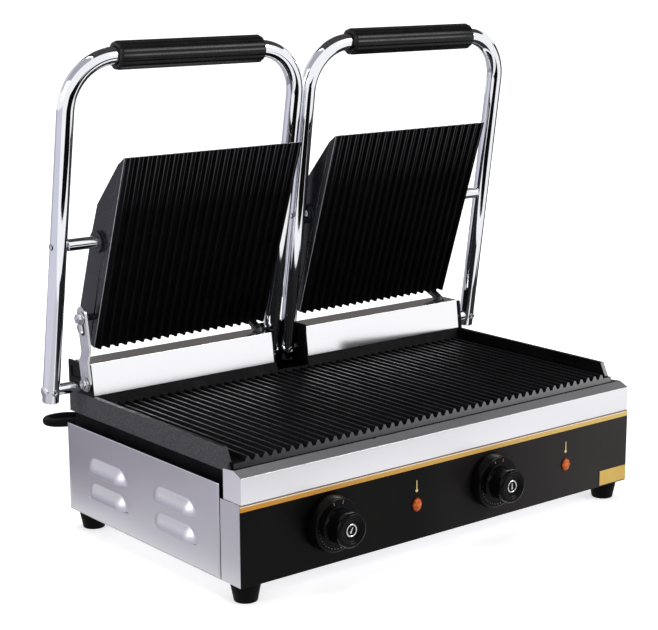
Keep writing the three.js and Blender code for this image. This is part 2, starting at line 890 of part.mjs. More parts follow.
function upperCover(side) {
  const half = plateWidth / 2;
  const shell = cut(
    prismX(coverOutline(0), [-half, half]),
    prismX(coverOutline(coverWall), [coverWall - half, half - coverWall]));
  const across = half + bossLength;
  const boss = cut(
    pinX([-across, across], 0, 0, bossRadius, 16),
    pinX([coverWall / 2 - half, half - coverWall / 2], 0, 0, bossRadius + overrun, 16));
  let shape = joined(shell, boss);
  if (side < 0) {
    shape = joined(shape, leverPin());
  }
  return cut(shape, pinX([-across - overrun, across + overrun], 0, 0, rodBore));
}

// The pin on the left plate's side that the lever's slot takes
function leverPin() {
  const half = plateWidth / 2;
  const side = platePlace + half;
  const reach = halfCast + seat - leverCrank - seat;
  return pinX(
    [-half - (reach - side), coverWall / 2 - half],
    leverPinDepth - rodToFace,
    leverPinRise - rodToPlateFoot,
    leverPinRadius,
    12);
}

function upperHeater() {
  const halfX = plateWidth / 2 - upperHeaterInset;
  const top = plateTopReach - coverBendDrop + 2 * coverWall;
  const foot = -rodToPlateFoot + coverWall + upperHeaterInset / 2;
  return heaterLoop(halfX, (top - foot) / 2, heaterRadius)
    .rotateX(Math.PI / 2)
    .translate(0, plateThickness - rodToFace + seat + heaterRadius, (top + foot) / 2);
}

// Tilt lever, upright with its pivot at the origin and its outer face towards -X
function tiltLever() {
  const half = leverWidth / 2;
  const body = new THREE.Shape();
  body.absarc(0, 0, half, Math.PI, 2 * Math.PI, false);
  body.absarc(0, leverTip - half, half, 0, Math.PI, false);
  const slotHalf = leverSlotWidth / 2;
  const slot = new THREE.Path();
  slot.absarc(0, leverSlotEnd - slotHalf, slotHalf, Math.PI, 0, true);
  slot.absarc(0, leverSlotStart + slotHalf, slotHalf, 0, -Math.PI, true);
  body.holes = [slot, circleHole(pivotShankRadius + seat)];
  const strip = outline([
    [0, -leverWidth],
    [0, leverCrankStart],
    [leverCrank, leverCrankEnd],
    [leverCrank, leverTip + overrun],
    [leverCrank - leverThickness, leverTip + overrun],
    [leverCrank - leverThickness, leverCrankEnd],
    [-leverThickness, leverCrankStart],
    [-leverThickness, -leverWidth],
  ]);
  return common(
    prismX(body, [-leverThickness - overrun, leverCrank + overrun]),
    prismY(strip, [-leverWidth, leverWidth]));
}

function leverPivot() {
  const outer = -halfCast - seat - leverThickness - seat;
  const shank = pinX([outer, bracketCheek - halfCast], leverPivotY, leverPivotZ, pivotShankRadius, 12);
  const head = pinX([outer - pivotHeadHeight, outer], leverPivotY, leverPivotZ, pivotHeadRadius, 6);
  return joined(shank, head);
}

// Wire conduit from the cover's hole up and back into the plate's cover
function wireConduit(side) {
  const x = conduitX(side);
  const name = side < 0 ? 'left' : 'right';
  const lean = THREE.MathUtils.degToRad(plateLean[name]);
  const arm = THREE.MathUtils.degToRad(lidLean[name]);
  const rod = new THREE.Vector3(x, hingeY - rodReach * Math.sin(arm), hingeZ + rodReach * Math.cos(arm));
  const up = new THREE.Vector3(0, -Math.sin(lean), Math.cos(lean));
  const back = new THREE.Vector3(0, Math.cos(lean), Math.sin(lean));
  const foot = rod.clone()
    .addScaledVector(up, -rodToPlateFoot - seat)
    .addScaledVector(back, (plateThickness + coverDepth) / 2 - rodToFace);
  const start = new THREE.Vector3(x, hingeY - conduitFootReach, coverTop - sheet - overrun);
  const above = start.clone().add(new THREE.Vector3(0, 0, conduitRadius));
  const below = foot.clone().addScaledVector(up, -conduitRadius);
  const curve = new THREE.CubicBezierCurve3(
    above,
    above.clone().add(new THREE.Vector3(0, 0, conduitRadius)),
    below.clone().addScaledVector(up, -conduitRadius),
    below);
  return tube([start, ...curve.getPoints(7), foot], conduitRadius, 10);
}

// Supply lead
function cableGland() {
  const profile = [
    [0, -glandTail],
    [glandNeckRadius, -glandTail],
    [glandNeckRadius, seat],
    [glandFlangeRadius, seat],
    [glandFlangeRadius, glandFlangeLength],
    [glandNeckRadius, glandFlangeLength + seat],
    [cordRadius + sheet, glandLength],
    [0, glandLength],
  ];
  return turned(profile, 16).translate(glandX, bodyDepth, glandZ);
}

const cordGround = cordRadius - footHeight;
const coilGround = cordGround + coilLift;
const coilStart = new THREE.Vector3(coilX, coilY + coilRadius, coilGround);

// The lead leaves straight, turns to the left, doubles back and comes down to the coil.
// Each point is given by its X, its distance behind the rear panel and its height.
const cordRoute = [
  [glandX, glandLength + seat, glandZ],
  [glandX, 55, glandZ],
  [-97, 69, 67],
  [-106, 79, 66],
  [-119, 84, 65.5],
  [-140, 85, 65],
  [-168, 84, 63],
  [-189, 90, 61],
  [-203, 102, 59],
  [-209, 118, 57],
  [-204, 135, 55],
  [-190, 148, 52.5],
  [-170, 154, 50],
  [-140, 155, 44],
  [-100, 154, 33],
  [-60, 153.5, 19],
  [-20, 153.2, 5],
  [20, 153, -6],
  [60, 153, -12.5],
  [85, 153, -13.3],
  [coilStart.x - cordRadius * 2 - seat, coilBehind + coilRadius, coilStart.z],
].map(([x, behind, z]) => new THREE.Vector3(x, bodyDepth + behind, z));

function powerCord() {
  return tube(cordRoute, cordRadius, cordSides);
}

// The coil spirals in on the floor, climbs a layer and spirals out again
function coilStations() {
  const count = Math.round(coilTurns * coilStepsPerTurn);
  const stations = [coilStart.clone().add(new THREE.Vector3(-cordRadius * 2, 0, 0))];
  for (let i = 0; i <= count; i += 1) {
    const turn = i / coilStepsPerTurn;
    const fromMiddle = turn - coilTurns / 2;
    const radius = coilRadius - coilPitch * (coilTurns / 2 - Math.abs(fromMiddle));
    const climbShare = Math.min(Math.max(fromMiddle * 2 + 1 / 2, 0), 1);
    const angle = Math.PI / 2 - 2 * Math.PI * turn;
    stations.push(new THREE.Vector3(
      coilX + radius * Math.cos(angle),
      coilY + radius * Math.sin(angle),
      coilGround + coilLayer * climbShare));
  }
  const last = stations[stations.length - 1];
  const rise = plugAxisHeight - last.z;
  for (const [runShare, riseShare] of [[1 / 4, 1 / 3], [1 / 2, 5 / 6], [3 / 4, 1], [1, 1]]) {
    stations.push(new THREE.Vector3(last.x - coilTailLength * runShare, last.y, last.z + rise * riseShare));
  }
  return stations;
}

const plugAxisHeight = plugRadius - footHeight;

function leastCoilGap(stations) {
  let least = Infinity;
  const apart = coilStepsPerTurn / 3;
  for (let i = 0; i < stations.length - 1; i += 1) {
    for (let j = i + apart; j < stations.length - 1; j += 1) {
      for (const share of [0, 1 / 2]) {
        const a = new THREE.Vector3().lerpVectors(stations[i], stations[i + 1], share);
        const b = new THREE.Vector3().lerpVectors(stations[j], stations[j + 1], share);
        const c = stations[j];
        least = Math.min(least, a.distanceTo(b), a.distanceTo(c));
      }
    }
  }
  return least - 2 * cordRadius;
}

function cordCoil() {
  const stations = coilStations();
  console.log(`least gap of the coil to itself: ${leastCoilGap(stations).toFixed(2)} mm`);
  return tube(stations, cordRadius, coilSides);
}

// A band round the coil's strands at its right side
function cordTie() {
  const turnsPerLayer = coilTurns / 2;
  const outerR = coilRadius + cordRadius + seat;
  const innerR = coilRadius - coilPitch * turnsPerLayer - cordRadius - seat;
  const foot = coilGround - cordRadius - seat;
  const top = coilGround + coilLayer + cordRadius + seat;
  const wall = tieThickness;
  const width = [coilY - tieWidth / 2, coilY + tieWidth / 2];
  const outside = block([coilX + innerR - wall, coilX + outerR + wall], width, [foot - wall, top + wall]);
  const inside = block(
    [coilX + innerR, coilX + outerR], [width[0] - overrun, width[1] + overrun], [foot, top]);
  return cut(outside, inside);
}

function plug() {
  const tip = plugReliefLength + plugShoulderLength + plugBodyLength;
  const profile = [
    [0, 0],
    [cordRadius + sheet, 0],
    [plugReliefRadius, plugReliefLength],
    [plugRadius - sheet, plugReliefLength + plugShoulderLength],
    [plugRadius, plugReliefLength + plugShoulderLength + sheet],
    [plugRadius, tip],
    [0, tip],
  ];
  const body = turned(profile, 24).rotateZ(Math.PI / 2);
  const pins = [-1, 1].map((sign) => pinX(
    [-tip - plugPinLength, -tip + overrun], sign * plugPinSpacing / 2, 0, plugPinRadius, 10));
  const end = coilStations().pop();
  return joined(body, ...pins).translate(end.x - seat, end.y, end.z);
}

function terminalBlock() {
  const terminalY = bodyDepth - terminalInset;
  return block(
    [terminalX - terminalLength / 2, terminalX + terminalLength / 2],
    [terminalY - terminalDepth / 2, terminalY + terminalDepth / 2],
    [sheet + seat, sheet + seat + terminalHeight]);
}

// Assembly
function controls(name) {
  const group = new THREE.Group();
  const x = knobPlaces[name];
  group.add(
    mesh(`thermostat_${name}`, thermostat(x), 'blackPlastic'),
    mesh(`thermostat_spindle_${name}`, spindle(x), 'brightSteel'),
    mesh(`knob_${name}`, knob(x), 'blackPlastic'),
    mesh(`lamp_${name}`, lamp(lampPlaces[name]), 'amber'));
  return group;
}

function feet() {
  const group = new THREE.Group();
  for (const [name, side] of Object.entries(sides)) {
    const x = side * (halfWidth - footSideInset);
    const front = mesh(`foot_front_${name}`, foot(), 'rubber');
    front.position.set(x, footFrontInset, 0);
    const rear = mesh(`foot_rear_${name}`, foot(), 'rubber');
    rear.position.set(x, bodyDepth - footRearInset, 0);
    group.add(front, rear);
  }
  return group;
}

function hinges(name) {
  const side = sides[name];
  const group = new THREE.Group();
  group.add(
    mesh(`hinge_bracket_${name}`, sideBracket(side), 'blackPaint'),
    mesh(`hinge_cover_${name}`, hingeCover(side), 'brightSteel'),
    mesh(`hinge_shaft_${name}`, hingeShaft(side), 'brightSteel'),
    mesh(`torsion_spring_${name}`, torsionSpring(side), 'heater'),
    mesh(`wire_conduit_${name}`, wireConduit(side), 'steel'));
  return group;
}

// A lid leans with its handle, and its plate leans a little more about the rod
function lid(name) {
  const side = sides[name];
  const handleGroup = new THREE.Group();
  handleGroup.position.set(side * lidPlace, hingeY, hingeZ);
  handleGroup.rotation.x = THREE.MathUtils.degToRad(lidLean[name]);
  const rod = mesh(`plate_rod_${name}`, plateRod(), 'brightSteel');
  rod.position.z = rodReach;
  handleGroup.add(
    mesh(`handle_${name}`, handle(), 'chrome'),
    mesh(`grip_${name}`, grip(), 'blackPlastic'),
    rod);
  const plateGroup = new THREE.Group();
  plateGroup.position.set(side * (platePlace - lidPlace), 0, rodReach);
  plateGroup.rotation.x = THREE.MathUtils.degToRad(plateLean[name] - lidLean[name]);
  plateGroup.add(
    mesh(`upper_grill_plate_${name}`, upperGrill(), 'castIron'),
    mesh(`upper_cover_${name}`, upperCover(side), 'castIron'),
    mesh(`upper_heater_${name}`, upperHeater(), 'heater'));
  handleGroup.add(plateGroup);
  return handleGroup;
}

// The lever points from its pivot to the pin on the left plate
function lever() {
  const lean = THREE.MathUtils.degToRad(plateLean.left);
  const arm = THREE.MathUtils.degToRad(lidLean.left);
  const drop = rodToPlateFoot - leverPinRise;
  const depth = leverPinDepth - rodToFace;
  const pinY0 = hingeY - rodReach * Math.sin(arm) + drop * Math.sin(lean) + depth * Math.cos(lean);
  const pinZ0 = hingeZ + rodReach * Math.cos(arm) - drop * Math.cos(lean) + depth * Math.sin(lean);
  const piece = mesh('tilt_lever', tiltLever(), 'steel');
  piece.position.set(-halfCast - seat, leverPivotY, leverPivotZ);
  piece.rotation.x = Math.atan2(leverPivotY - pinY0, pinZ0 - leverPivotZ);
  return piece;
}

function body() {
  const group = new THREE.Group();
  group.add(
    mesh('base_plate', basePlate(), 'steel'),
    mesh('side_panel_left', sidePanel(-1), 'steel'),
    mesh('side_panel_right', sidePanel(1), 'steel'),
    mesh('rear_panel', rearPanel(), 'steel'),
    mesh('front_panel', frontPanel(), 'steel'),
    mesh('front_fascia', fascia(), 'fascia'),
    mesh('blank_plate', blankPlate(), 'gold'),
    mesh('grease_tray', greaseTray(), 'brightSteel'),
    mesh('lower_grill_plate', lowerGrill(), 'castIron'),
    mesh('lower_heater_left', lowerHeater(-1), 'heater'),
    mesh('lower_heater_right', lowerHeater(1), 'heater'),
    mesh('hinge_bracket_centre', centreBracket(), 'blackPaint'),
    mesh('terminal_block', terminalBlock(), 'blackPlastic'),
    mesh('tilt_lever_pivot', leverPivot(), 'brightSteel'),
    lever(),
    feet(),
    controls('left'),
    controls('right'),
    hinges('left'),
    hinges('right'),
    lid('left'),
    lid('right'));
  return group;
}

function cordPieces() {
  const group = new THREE.Group();
  group.add(
    mesh('cable_gland', cableGland(), 'rubber'),
    mesh('power_cord', powerCord(), 'rubber'),
    mesh('cord_coil', cordCoil(), 'rubber'),
    mesh('cord_tie', cordTie(), 'blackPlastic'),
    mesh('plug', plug(), 'rubber'));
  return group;
}

// The grill without its lead stands centred over the origin
const grill = new THREE.Group();
const machine = body();
grill.add(machine, cordPieces());
grill.updateMatrixWorld(true);
const extent = new THREE.Box3().setFromObject(machine, true);
const middle = extent.getCenter(new THREE.Vector3());
grill.position.set(-middle.x, -middle.y, footHeight);
grill.updateMatrixWorld(true);

export default grill;
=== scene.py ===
import math

import bmesh
import bpy
from mathutils import Matrix, Vector


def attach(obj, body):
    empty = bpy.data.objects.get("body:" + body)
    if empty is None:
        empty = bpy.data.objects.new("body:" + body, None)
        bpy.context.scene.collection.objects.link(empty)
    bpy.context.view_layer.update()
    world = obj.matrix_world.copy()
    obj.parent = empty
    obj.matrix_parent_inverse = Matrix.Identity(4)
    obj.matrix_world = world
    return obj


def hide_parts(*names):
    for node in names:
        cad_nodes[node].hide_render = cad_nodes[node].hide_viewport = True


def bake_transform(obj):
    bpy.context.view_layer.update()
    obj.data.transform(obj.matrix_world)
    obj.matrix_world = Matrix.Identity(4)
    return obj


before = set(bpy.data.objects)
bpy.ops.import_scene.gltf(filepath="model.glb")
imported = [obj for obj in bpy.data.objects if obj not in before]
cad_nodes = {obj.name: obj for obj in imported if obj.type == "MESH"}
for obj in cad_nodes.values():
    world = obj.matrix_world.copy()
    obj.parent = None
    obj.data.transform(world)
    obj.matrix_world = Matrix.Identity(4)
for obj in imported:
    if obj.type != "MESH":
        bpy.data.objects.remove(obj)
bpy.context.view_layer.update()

# The body's own frame, in millimetres: x from its middle, y back from the fascia's face, and z up from
# the panels' foot
MM = 0.001
BODY_ORIGIN = Vector((0.0, -0.135199, 0.019))
BODY = Matrix.Translation(BODY_ORIGIN) @ Matrix.Scale(MM, 4)
TO_LEFT = (-1, 0, 0)
TO_RIGHT = (1, 0, 0)
TO_FRONT = (0, -1, 0)
TO_BACK = (0, 1, 0)
SIDES = {"left": -1, "right": 1}

# Sizes that the pieces share, in that frame. SEAT is the gap between pieces that fit together.
SEAT = 0.3
FOOT_HEIGHT = 19
HALF_WIDTH = 255
DEPTH = 297
FRONT_RETURN = 31.3
SIDE_TOP = 91.2
RIB_TOP = 116
STRIPE_FOOT = 71.7
HINGE_Y = 280
HINGE_Z = 132
LID_X = 147
PLATE_X = 131
ARM_X = 135
ROD_REACH = 150.8
HANDLE_REACH = 334
TUBE_RADIUS = 8.5
LID_LEAN = {"left": 9.9, "right": 8.1}
PLATE_LEAN = {"left": 19.2, "right": 18.0}
KNOB_X = {"left": -154.02, "right": 51.0}
KNOB_Z = 42
LAMP_X = {"left": -45.49, "right": 161.01}
LAMP_Z = 35.5
ICON_Z = 49.6


def at(x, y, z):
    return Vector((x, y, z)) * MM + BODY_ORIGIN


def over_ground(z):
    return BODY_ORIGIN.z + z * MM


def lid_frame(name):
    """A lid's frame at its hinge, in millimetres."""
    hinge = Matrix.Translation((SIDES[name] * LID_X, HINGE_Y, HINGE_Z))
    return BODY @ hinge @ Matrix.Rotation(math.radians(LID_LEAN[name]), 4, "X")


def plate_axes(name):
    """The middle of a plate's rod, and the plate's directions up along itself and out of its back."""
    arm = math.radians(LID_LEAN[name])
    lean = math.radians(PLATE_LEAN[name])
    rod = Vector((SIDES[name] * PLATE_X, HINGE_Y - ROD_REACH * math.sin(arm),
                  HINGE_Z + ROD_REACH * math.cos(arm)))
    up = Vector((0, -math.sin(lean), math.cos(lean)))
    back = Vector((0, math.cos(lean), math.sin(lean)))
    return rod, up, back


def linked(name, data):
    obj = bpy.data.objects.new(name, data)
    bpy.context.scene.collection.objects.link(obj)
    return obj


# Camera at the photograph's viewing angle
SENSOR_WIDTH = 36
FOCAL_LENGTH = 93.594
SHIFT_UP = 0.05
CAMERA_PLACE = (-1.0966, -1.3078, 0.5794)
CAMERA_AIM = (0.61019, 0.75854, -0.22866)
CAMERA_ROLL = -0.228


def make_camera():
    data = bpy.data.cameras.new("camera")
    data.sensor_width = SENSOR_WIDTH
    data.lens = FOCAL_LENGTH
    data.shift_y = SHIFT_UP
    data.clip_start = 0.05
    data.clip_end = 200
    camera = linked("camera", data)
    camera.location = CAMERA_PLACE
    aim = Vector(CAMERA_AIM).to_track_quat("-Z", "Y").to_matrix().to_4x4()
    roll = Matrix.Rotation(math.radians(CAMERA_ROLL), 4, "Z")
    camera.rotation_euler = (aim @ roll).to_euler()
    bpy.context.scene.camera = camera


make_camera()


# Nodes of the materials
EVEN = (1, 1, 1)


def new_node(tree, kind):
    return tree.nodes.new("ShaderNode" + kind)


def object_place(tree):
    return new_node(tree, "TexCoord").outputs["Object"]


def axes(tree, vector):
    split = new_node(tree, "SeparateXYZ")
    tree.links.new(vector, split.inputs["Vector"])
    return split.outputs


def noise(tree, place, scale, stretch=EVEN, detail=3.0):
    mapping = new_node(tree, "Mapping")
    mapping.inputs["Scale"].default_value = stretch
    tree.links.new(place, mapping.inputs["Vector"])
    texture = new_node(tree, "TexNoise")
    texture.inputs["Scale"].default_value = scale
    texture.inputs["Detail"].default_value = detail
    texture.inputs["Roughness"].default_value = 0.55
    tree.links.new(mapping.outputs["Vector"], texture.inputs["Vector"])
    return texture.outputs["Fac"]


def spread(tree, value, low, high, start=0.3, end=0.7):
    """The stretch of a value from start to end, as low to high."""
    node = new_node(tree, "MapRange")
    node.inputs["From Min"].default_value = start
    node.inputs["From Max"].default_value = end
    node.inputs["To Min"].default_value = low
    node.inputs["To Max"].default_value = high
    tree.links.new(value, node.inputs["Value"])
    return node.outputs["Result"]


def worked(tree, operation, *values, clamped=False):
    """One or two values, put through a sum."""
    node = new_node(tree, "Math")
    node.operation = operation
    node.use_clamp = clamped
    for value, socket in zip(values, node.inputs):
        tree.links.new(value, socket)
    return node.outputs[0]


def mixed(tree, share, first, second):
    """A colour between two, each of them a socket or a plain colour."""
    node = new_node(tree, "Mix")
    node.data_type = "RGBA"
    tree.links.new(share, node.inputs[0])
    for socket, value in ((node.inputs[6], first), (node.inputs[7], second)):
        if isinstance(value, bpy.types.NodeSocket):
            tree.links.new(value, socket)
        else:
            socket.default_value = (*value, 1)
    return node.outputs[2]


def look(name, dark, light, rough, metallic=0.0, patch=9.0, stretch=EVEN, relief=(), specular=0.5,
         grain=None):
    """A surface with colour patches and uneven gloss.

    It may have layers of relief, each with a scale, stretch, strength and depth, and a grain, with a scale
    and its darkest and lightest share.
    """
    material = bpy.data.materials.new(name)
    material.use_nodes = True
    tree = material.node_tree
    shader = tree.nodes["Principled BSDF"]
    place = object_place(tree)
    patches = noise(tree, place, patch, stretch, detail=5.0)
    color = mixed(tree, spread(tree, patches, 0, 1), dark, light)
    if grain:
        scale, low, high = grain
        speckle = spread(tree, noise(tree, place, scale, detail=1.0), low, high, 0.38, 0.62)
        product = new_node(tree, "VectorMath")
        product.operation = "SCALE"
        tree.links.new(color, product.inputs[0])
        tree.links.new(speckle, product.inputs["Scale"])
        color = product.outputs["Vector"]
    tree.links.new(color, shader.inputs["Base Color"])
    gloss = noise(tree, place, patch * 2.3, stretch, detail=4.0)
    tree.links.new(spread(tree, gloss, *rough), shader.inputs["Roughness"])
    shader.inputs["Metallic"].default_value = metallic
    shader.inputs["Specular IOR Level"].default_value = specular
    target = shader.inputs["Normal"]
    for scale, layer_stretch, strength, depth in reversed(relief):
        bump = new_node(tree, "Bump")
        bump.inputs["Strength"].default_value = strength
        bump.inputs["Distance"].default_value = depth
        tree.links.new(noise(tree, place, scale, layer_stretch), bump.inputs["Height"])
        tree.links.new(bump.outputs["Normal"], target)
        target = bump.inputs["Normal"]
    return material


def color_parts(material):
    """A look's node tree, its shader's colour socket, and what feeds that socket."""
    tree = material.node_tree
    socket = tree.nodes["Principled BSDF"].inputs["Base Color"]
    return tree, socket, socket.links[0].from_socket


# The printed foil on the front. Its lines are a height over the stripe's foot and the colour above it. The
# dark top line is a painted shadow under the tray's edge.
STRIPE_LEFT = (0.7, 0.31, 0.045)
STRIPE_RIGHT = (0.86, 0.61, 0.2)
PALE_LINE = (4.3, (0.95, 0.88, 0.74))
# A dark line along the foil's top: painted shadow under the tray's edge
TRAY_SHADOW_LINE = (5.3, (0.35, 0.2, 0.08))
LINE_BLUR = 0.1 * MM


def fascia_look():
    """Black with a painted reflection that pales it to its right, and a yellow stripe between a pale line and
    a painted shadow line along its top.
    """
    material = look("fascia_foil", (0.002, 0.0018, 0.0018), (0.005, 0.0045, 0.0042), (0.3, 0.38), patch=14,
                    relief=[(900, EVEN, 0.06, 0.0002)], specular=0.07)
    tree, socket, black = color_parts(material)
    axis = axes(tree, object_place(tree))
    along = spread(tree, axis["X"], 0, 1, -HALF_WIDTH * MM, HALF_WIDTH * MM)
    # Painted reflection: the foil's black turns paler towards its right
    painted_reflection_share = spread(tree, axis["X"], 0, 1, -0.05, 0.25)
    color = mixed(tree, painted_reflection_share, black, (0.045, 0.04, 0.04))
    stripe = mixed(tree, along, STRIPE_LEFT, STRIPE_RIGHT)
    for rise, above in ((0, stripe), PALE_LINE, TRAY_SHADOW_LINE):
        level = over_ground(STRIPE_FOOT + rise)
        share = spread(tree, axis["Z"], 0, 1, level - LINE_BLUR, level + LINE_BLUR)
        color = mixed(tree, share, color, above)
    tree.links.new(color, socket)
    return material


# The black of the castings, and the heights and places where the lower one is bare or carries painted light,
# in metres
CAST_BLACK = ((0.002, 0.002, 0.0024), (0.006, 0.006, 0.007))
CAST_RELIEF = [(420, EVEN, 0.2, 0.0005), (1500, EVEN, 0.3, 0.0003)]
SHALLOW_GLOSS = 0.045
OUTER_WALL = (0.2498, 0.2504)
NOSE_BACK = (BODY_ORIGIN.y + 37 * MM, BODY_ORIGIN.y + 38 * MM)
# Below this height the nose stays black: a painted shadow line over the tray
NOSE_SHADOW_TOP = (over_ground(106.0), over_ground(106.6))
TIP_FOOT = (over_ground(RIB_TOP - 0.6), over_ground(RIB_TOP - 0.1))
TIP_END = (over_ground(RIB_TOP + 0.2), over_ground(RIB_TOP + 0.4))


def casting_look():
    """Black cooking faces, with the grainy bare casting on the outer walls, and a nose in front that is
    bare-casting grey with a painted highlight growing towards the right.
    """
    material = look("lower_casting", *CAST_BLACK, (0.4, 0.55), patch=40, relief=CAST_RELIEF,
                    specular=SHALLOW_GLOSS)
    tree, socket, black = color_parts(material)
    place = object_place(tree)
    axis = axes(tree, place)
    outside = spread(tree, worked(tree, "ABSOLUTE", axis["X"]), 0, 1, *OUTER_WALL)
    speckle = spread(tree, noise(tree, place, 760, detail=2.0), 0, 1, 0.36, 0.66)
    bare = mixed(tree, speckle, (0.056, 0.056, 0.063), (0.1, 0.1, 0.109))

    # The ribs' tips, a little paler: a painted highlight
    tip_highlight = worked(tree, "MULTIPLY", spread(tree, axis["Z"], 0, 1, *TIP_FOOT),
                  spread(tree, axis["Z"], 1, 0, *TIP_END))
    black = mixed(tree, tip_highlight, black, (0.007, 0.007, 0.008))

    # The nose: what faces forward, ahead of the ribs and above the deck. It is grey as bare casting at its
    # left, with a painted highlight that pales it towards the right, and below a given height it stays black
    # as a painted shadow line over the tray.
    normal = axes(tree, new_node(tree, "NewGeometry").outputs["True Normal"])
    nose = spread(tree, normal["Y"], 1, 0, -0.7, -0.5)
    nose = worked(tree, "MULTIPLY", nose, spread(tree, axis["Y"], 1, 0, *NOSE_BACK))
    nose = worked(tree, "MULTIPLY", nose, spread(tree, axis["Z"], 0, 1, *NOSE_SHADOW_TOP))
    across = spread(tree, axis["X"], 0, 1, -0.25, 0.25)
    nose_grey_and_highlight = mixed(tree, across, (0.06, 0.06, 0.066), (0.34, 0.34, 0.345))
    outside_only = worked(tree, "SUBTRACT", outside, nose, clamped=True)
    tree.links.new(mixed(tree, outside_only, mixed(tree, nose, black, nose_grey_and_highlight), bare), socket)
    return material


# Heights between which the upper plates' rib edges turn from black to a painted highlight, in metres
HIGHLIGHT_SPAN = (0.33, 0.41)


def rib_highlight_look():
    """Rib edges with a painted highlight near the plate's upper end, and black further down."""
    material = look("painted_rib_highlight", *CAST_BLACK, (0.35, 0.5), patch=60, specular=0.1)
    tree, socket, black = color_parts(material)
    share = spread(tree, axes(tree, object_place(tree))["Z"], 0, 1, *HIGHLIGHT_SPAN)
    tree.links.new(mixed(tree, share, black, (0.14, 0.14, 0.15)), socket)
    return material


# Metals
STEEL = look("satin_steel", (0.6, 0.59, 0.635), (0.68, 0.67, 0.71), (0.3, 0.4), 1.0, 5, (1, 0.3, 1),
             [(2600, (1, 0.012, 1), 0.05, 0.0001)])
BRIGHT_STEEL = look("bright_steel", (0.87, 0.86, 0.9), (0.93, 0.92, 0.96), (0.26, 0.34), 1.0, 4, (0.3, 1, 1),
                    [(2600, (0.012, 1, 1), 0.04, 0.0001)])
POLISHED_STEEL = look("polished_steel", (0.93, 0.92, 0.96), (0.96, 0.95, 0.98), (0.08, 0.12), 1.0, 4,
                      (0.3, 1, 1), [(2600, (0.012, 1, 1), 0.03, 0.0001)])
PLAIN_STEEL = look("plain_steel", (0.5, 0.5, 0.52), (0.65, 0.65, 0.67), (0.16, 0.26), 1.0, 60,
                   relief=[(1500, EVEN, 0.05, 0.0002)])
CHROME = look("chrome", (0.85, 0.86, 0.9), (0.9, 0.91, 0.95), (0.03, 0.06), 1.0, 20)
HEATER_STEEL = look("heater_steel", (0.12, 0.1, 0.09), (0.3, 0.26, 0.22), (0.35, 0.55), 0.8, 25,
                    relief=[(800, EVEN, 0.1, 0.0002)])
HOSE_STEEL = look("hose_steel", (0.03, 0.03, 0.034), (0.09, 0.09, 0.1), (0.3, 0.45), 1.0, 50)

# Castings and black pieces
CAST_IRON = look("cast_iron", (0.0022, 0.0022, 0.0025), (0.005, 0.005, 0.006), (0.4, 0.55), patch=40,
                 relief=CAST_RELIEF, specular=SHALLOW_GLOSS)
CAST_COVER = look("cast_cover", (0.013, 0.0125, 0.018), (0.018, 0.0175, 0.025), (0.2, 0.3), patch=30,
                  relief=[(500, EVEN, 0.08, 0.0005), (1500, EVEN, 0.1, 0.0003)], specular=0.35,
                  grain=(900, 0.8, 1.2))
BLACK_PAINT = look("black_enamel", (0.003, 0.003, 0.0035), (0.007, 0.007, 0.008), (0.25, 0.4), patch=30,
                   relief=[(700, EVEN, 0.1, 0.0003)], specular=0.1)
BLACK_PLASTIC = look("black_plastic", (0.0012, 0.0012, 0.0014), (0.003, 0.003, 0.0035), (0.18, 0.26),
                     patch=25, relief=[(1100, EVEN, 0.05, 0.0002)], specular=0.075)
GRIP_PLASTIC = look("grip_plastic", (0.004, 0.004, 0.0045), (0.008, 0.008, 0.009), (0.2, 0.3), patch=40,
                    relief=[(1100, EVEN, 0.06, 0.0002)], specular=0.2)
RUBBER = look("black_rubber", (0.003, 0.003, 0.003), (0.006, 0.006, 0.006), (0.5, 0.65), patch=30,
              relief=[(900, EVEN, 0.15, 0.0003)], specular=0.04)
# Painted highlights on the upper plates' rib edges, fading downwards
RIB_HIGHLIGHT = rib_highlight_look()
LIT_EDGE = look("lit_edge", (0.3, 0.3, 0.33), (0.55, 0.55, 0.6), (0.3, 0.4), patch=160)
# Dark sheet edges: a painted shadow in the seams of the side panels
SEAM_SHADOW = look("painted_seam_shadow", (0.006, 0.006, 0.007), (0.016, 0.015, 0.015), (0.5, 0.6), patch=60, specular=0.1)
LOWER_CASTING = casting_look()

# Coloured pieces and printed marks
FASCIA = fascia_look()
GOLD = look("gold_plate", (0.75, 0.47, 0.09), (0.84, 0.57, 0.14), (0.35, 0.45), patch=30,
            relief=[(900, EVEN, 0.08, 0.0002)])
AMBER = look("amber_lens", (0.4, 0.035, 0.003), (0.95, 0.25, 0.03), (0.15, 0.25), patch=260,
             relief=[(260, EVEN, 0.2, 0.001)], specular=0.25)
# Dark red: the lamp's colour in painted shade round the lens
BEZEL_SHADE_RED = look("lamp_bezel", (0.12, 0.012, 0.003), (0.25, 0.03, 0.006), (0.2, 0.3), patch=80, specular=0.2)
WHITE_MARK = look("white_mark", (0.14, 0.12, 0.1), (0.26, 0.23, 0.2), (0.5, 0.6), patch=80)
PALE_GOLD = look("pale_gold_mark", (0.75, 0.52, 0.2), (0.88, 0.68, 0.34), (0.4, 0.5), patch=80)


# Objects
def to_object(name, bm, material, place=None, sharp=32, turn_faces=True):
    """A mesh as an object, its faces turned outwards. Edges sharper than some degrees stay sharp."""
    if place is not None:
        bm.transform(place)
    if turn_faces:
        bmesh.ops.recalc_face_normals(bm, faces=bm.faces)
    mesh = bpy.data.meshes.new(name)
    bm.to_mesh(mesh)
    bm.free()
    mesh.shade_smooth()
    mesh.set_sharp_from_angle(angle=math.radians(sharp))
    mesh.materials.append(material)
    return linked(name, mesh)


def fitted(obj, body, slot, *stands_for):
    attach(obj, body)
    if stands_for:
        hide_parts(*stands_for)
    return obj


def put(name, bm, material, place, body, slot, *stands_for, sharp=32):
    return fitted(to_object(name, bm, material, place, sharp), body, slot, *stands_for)


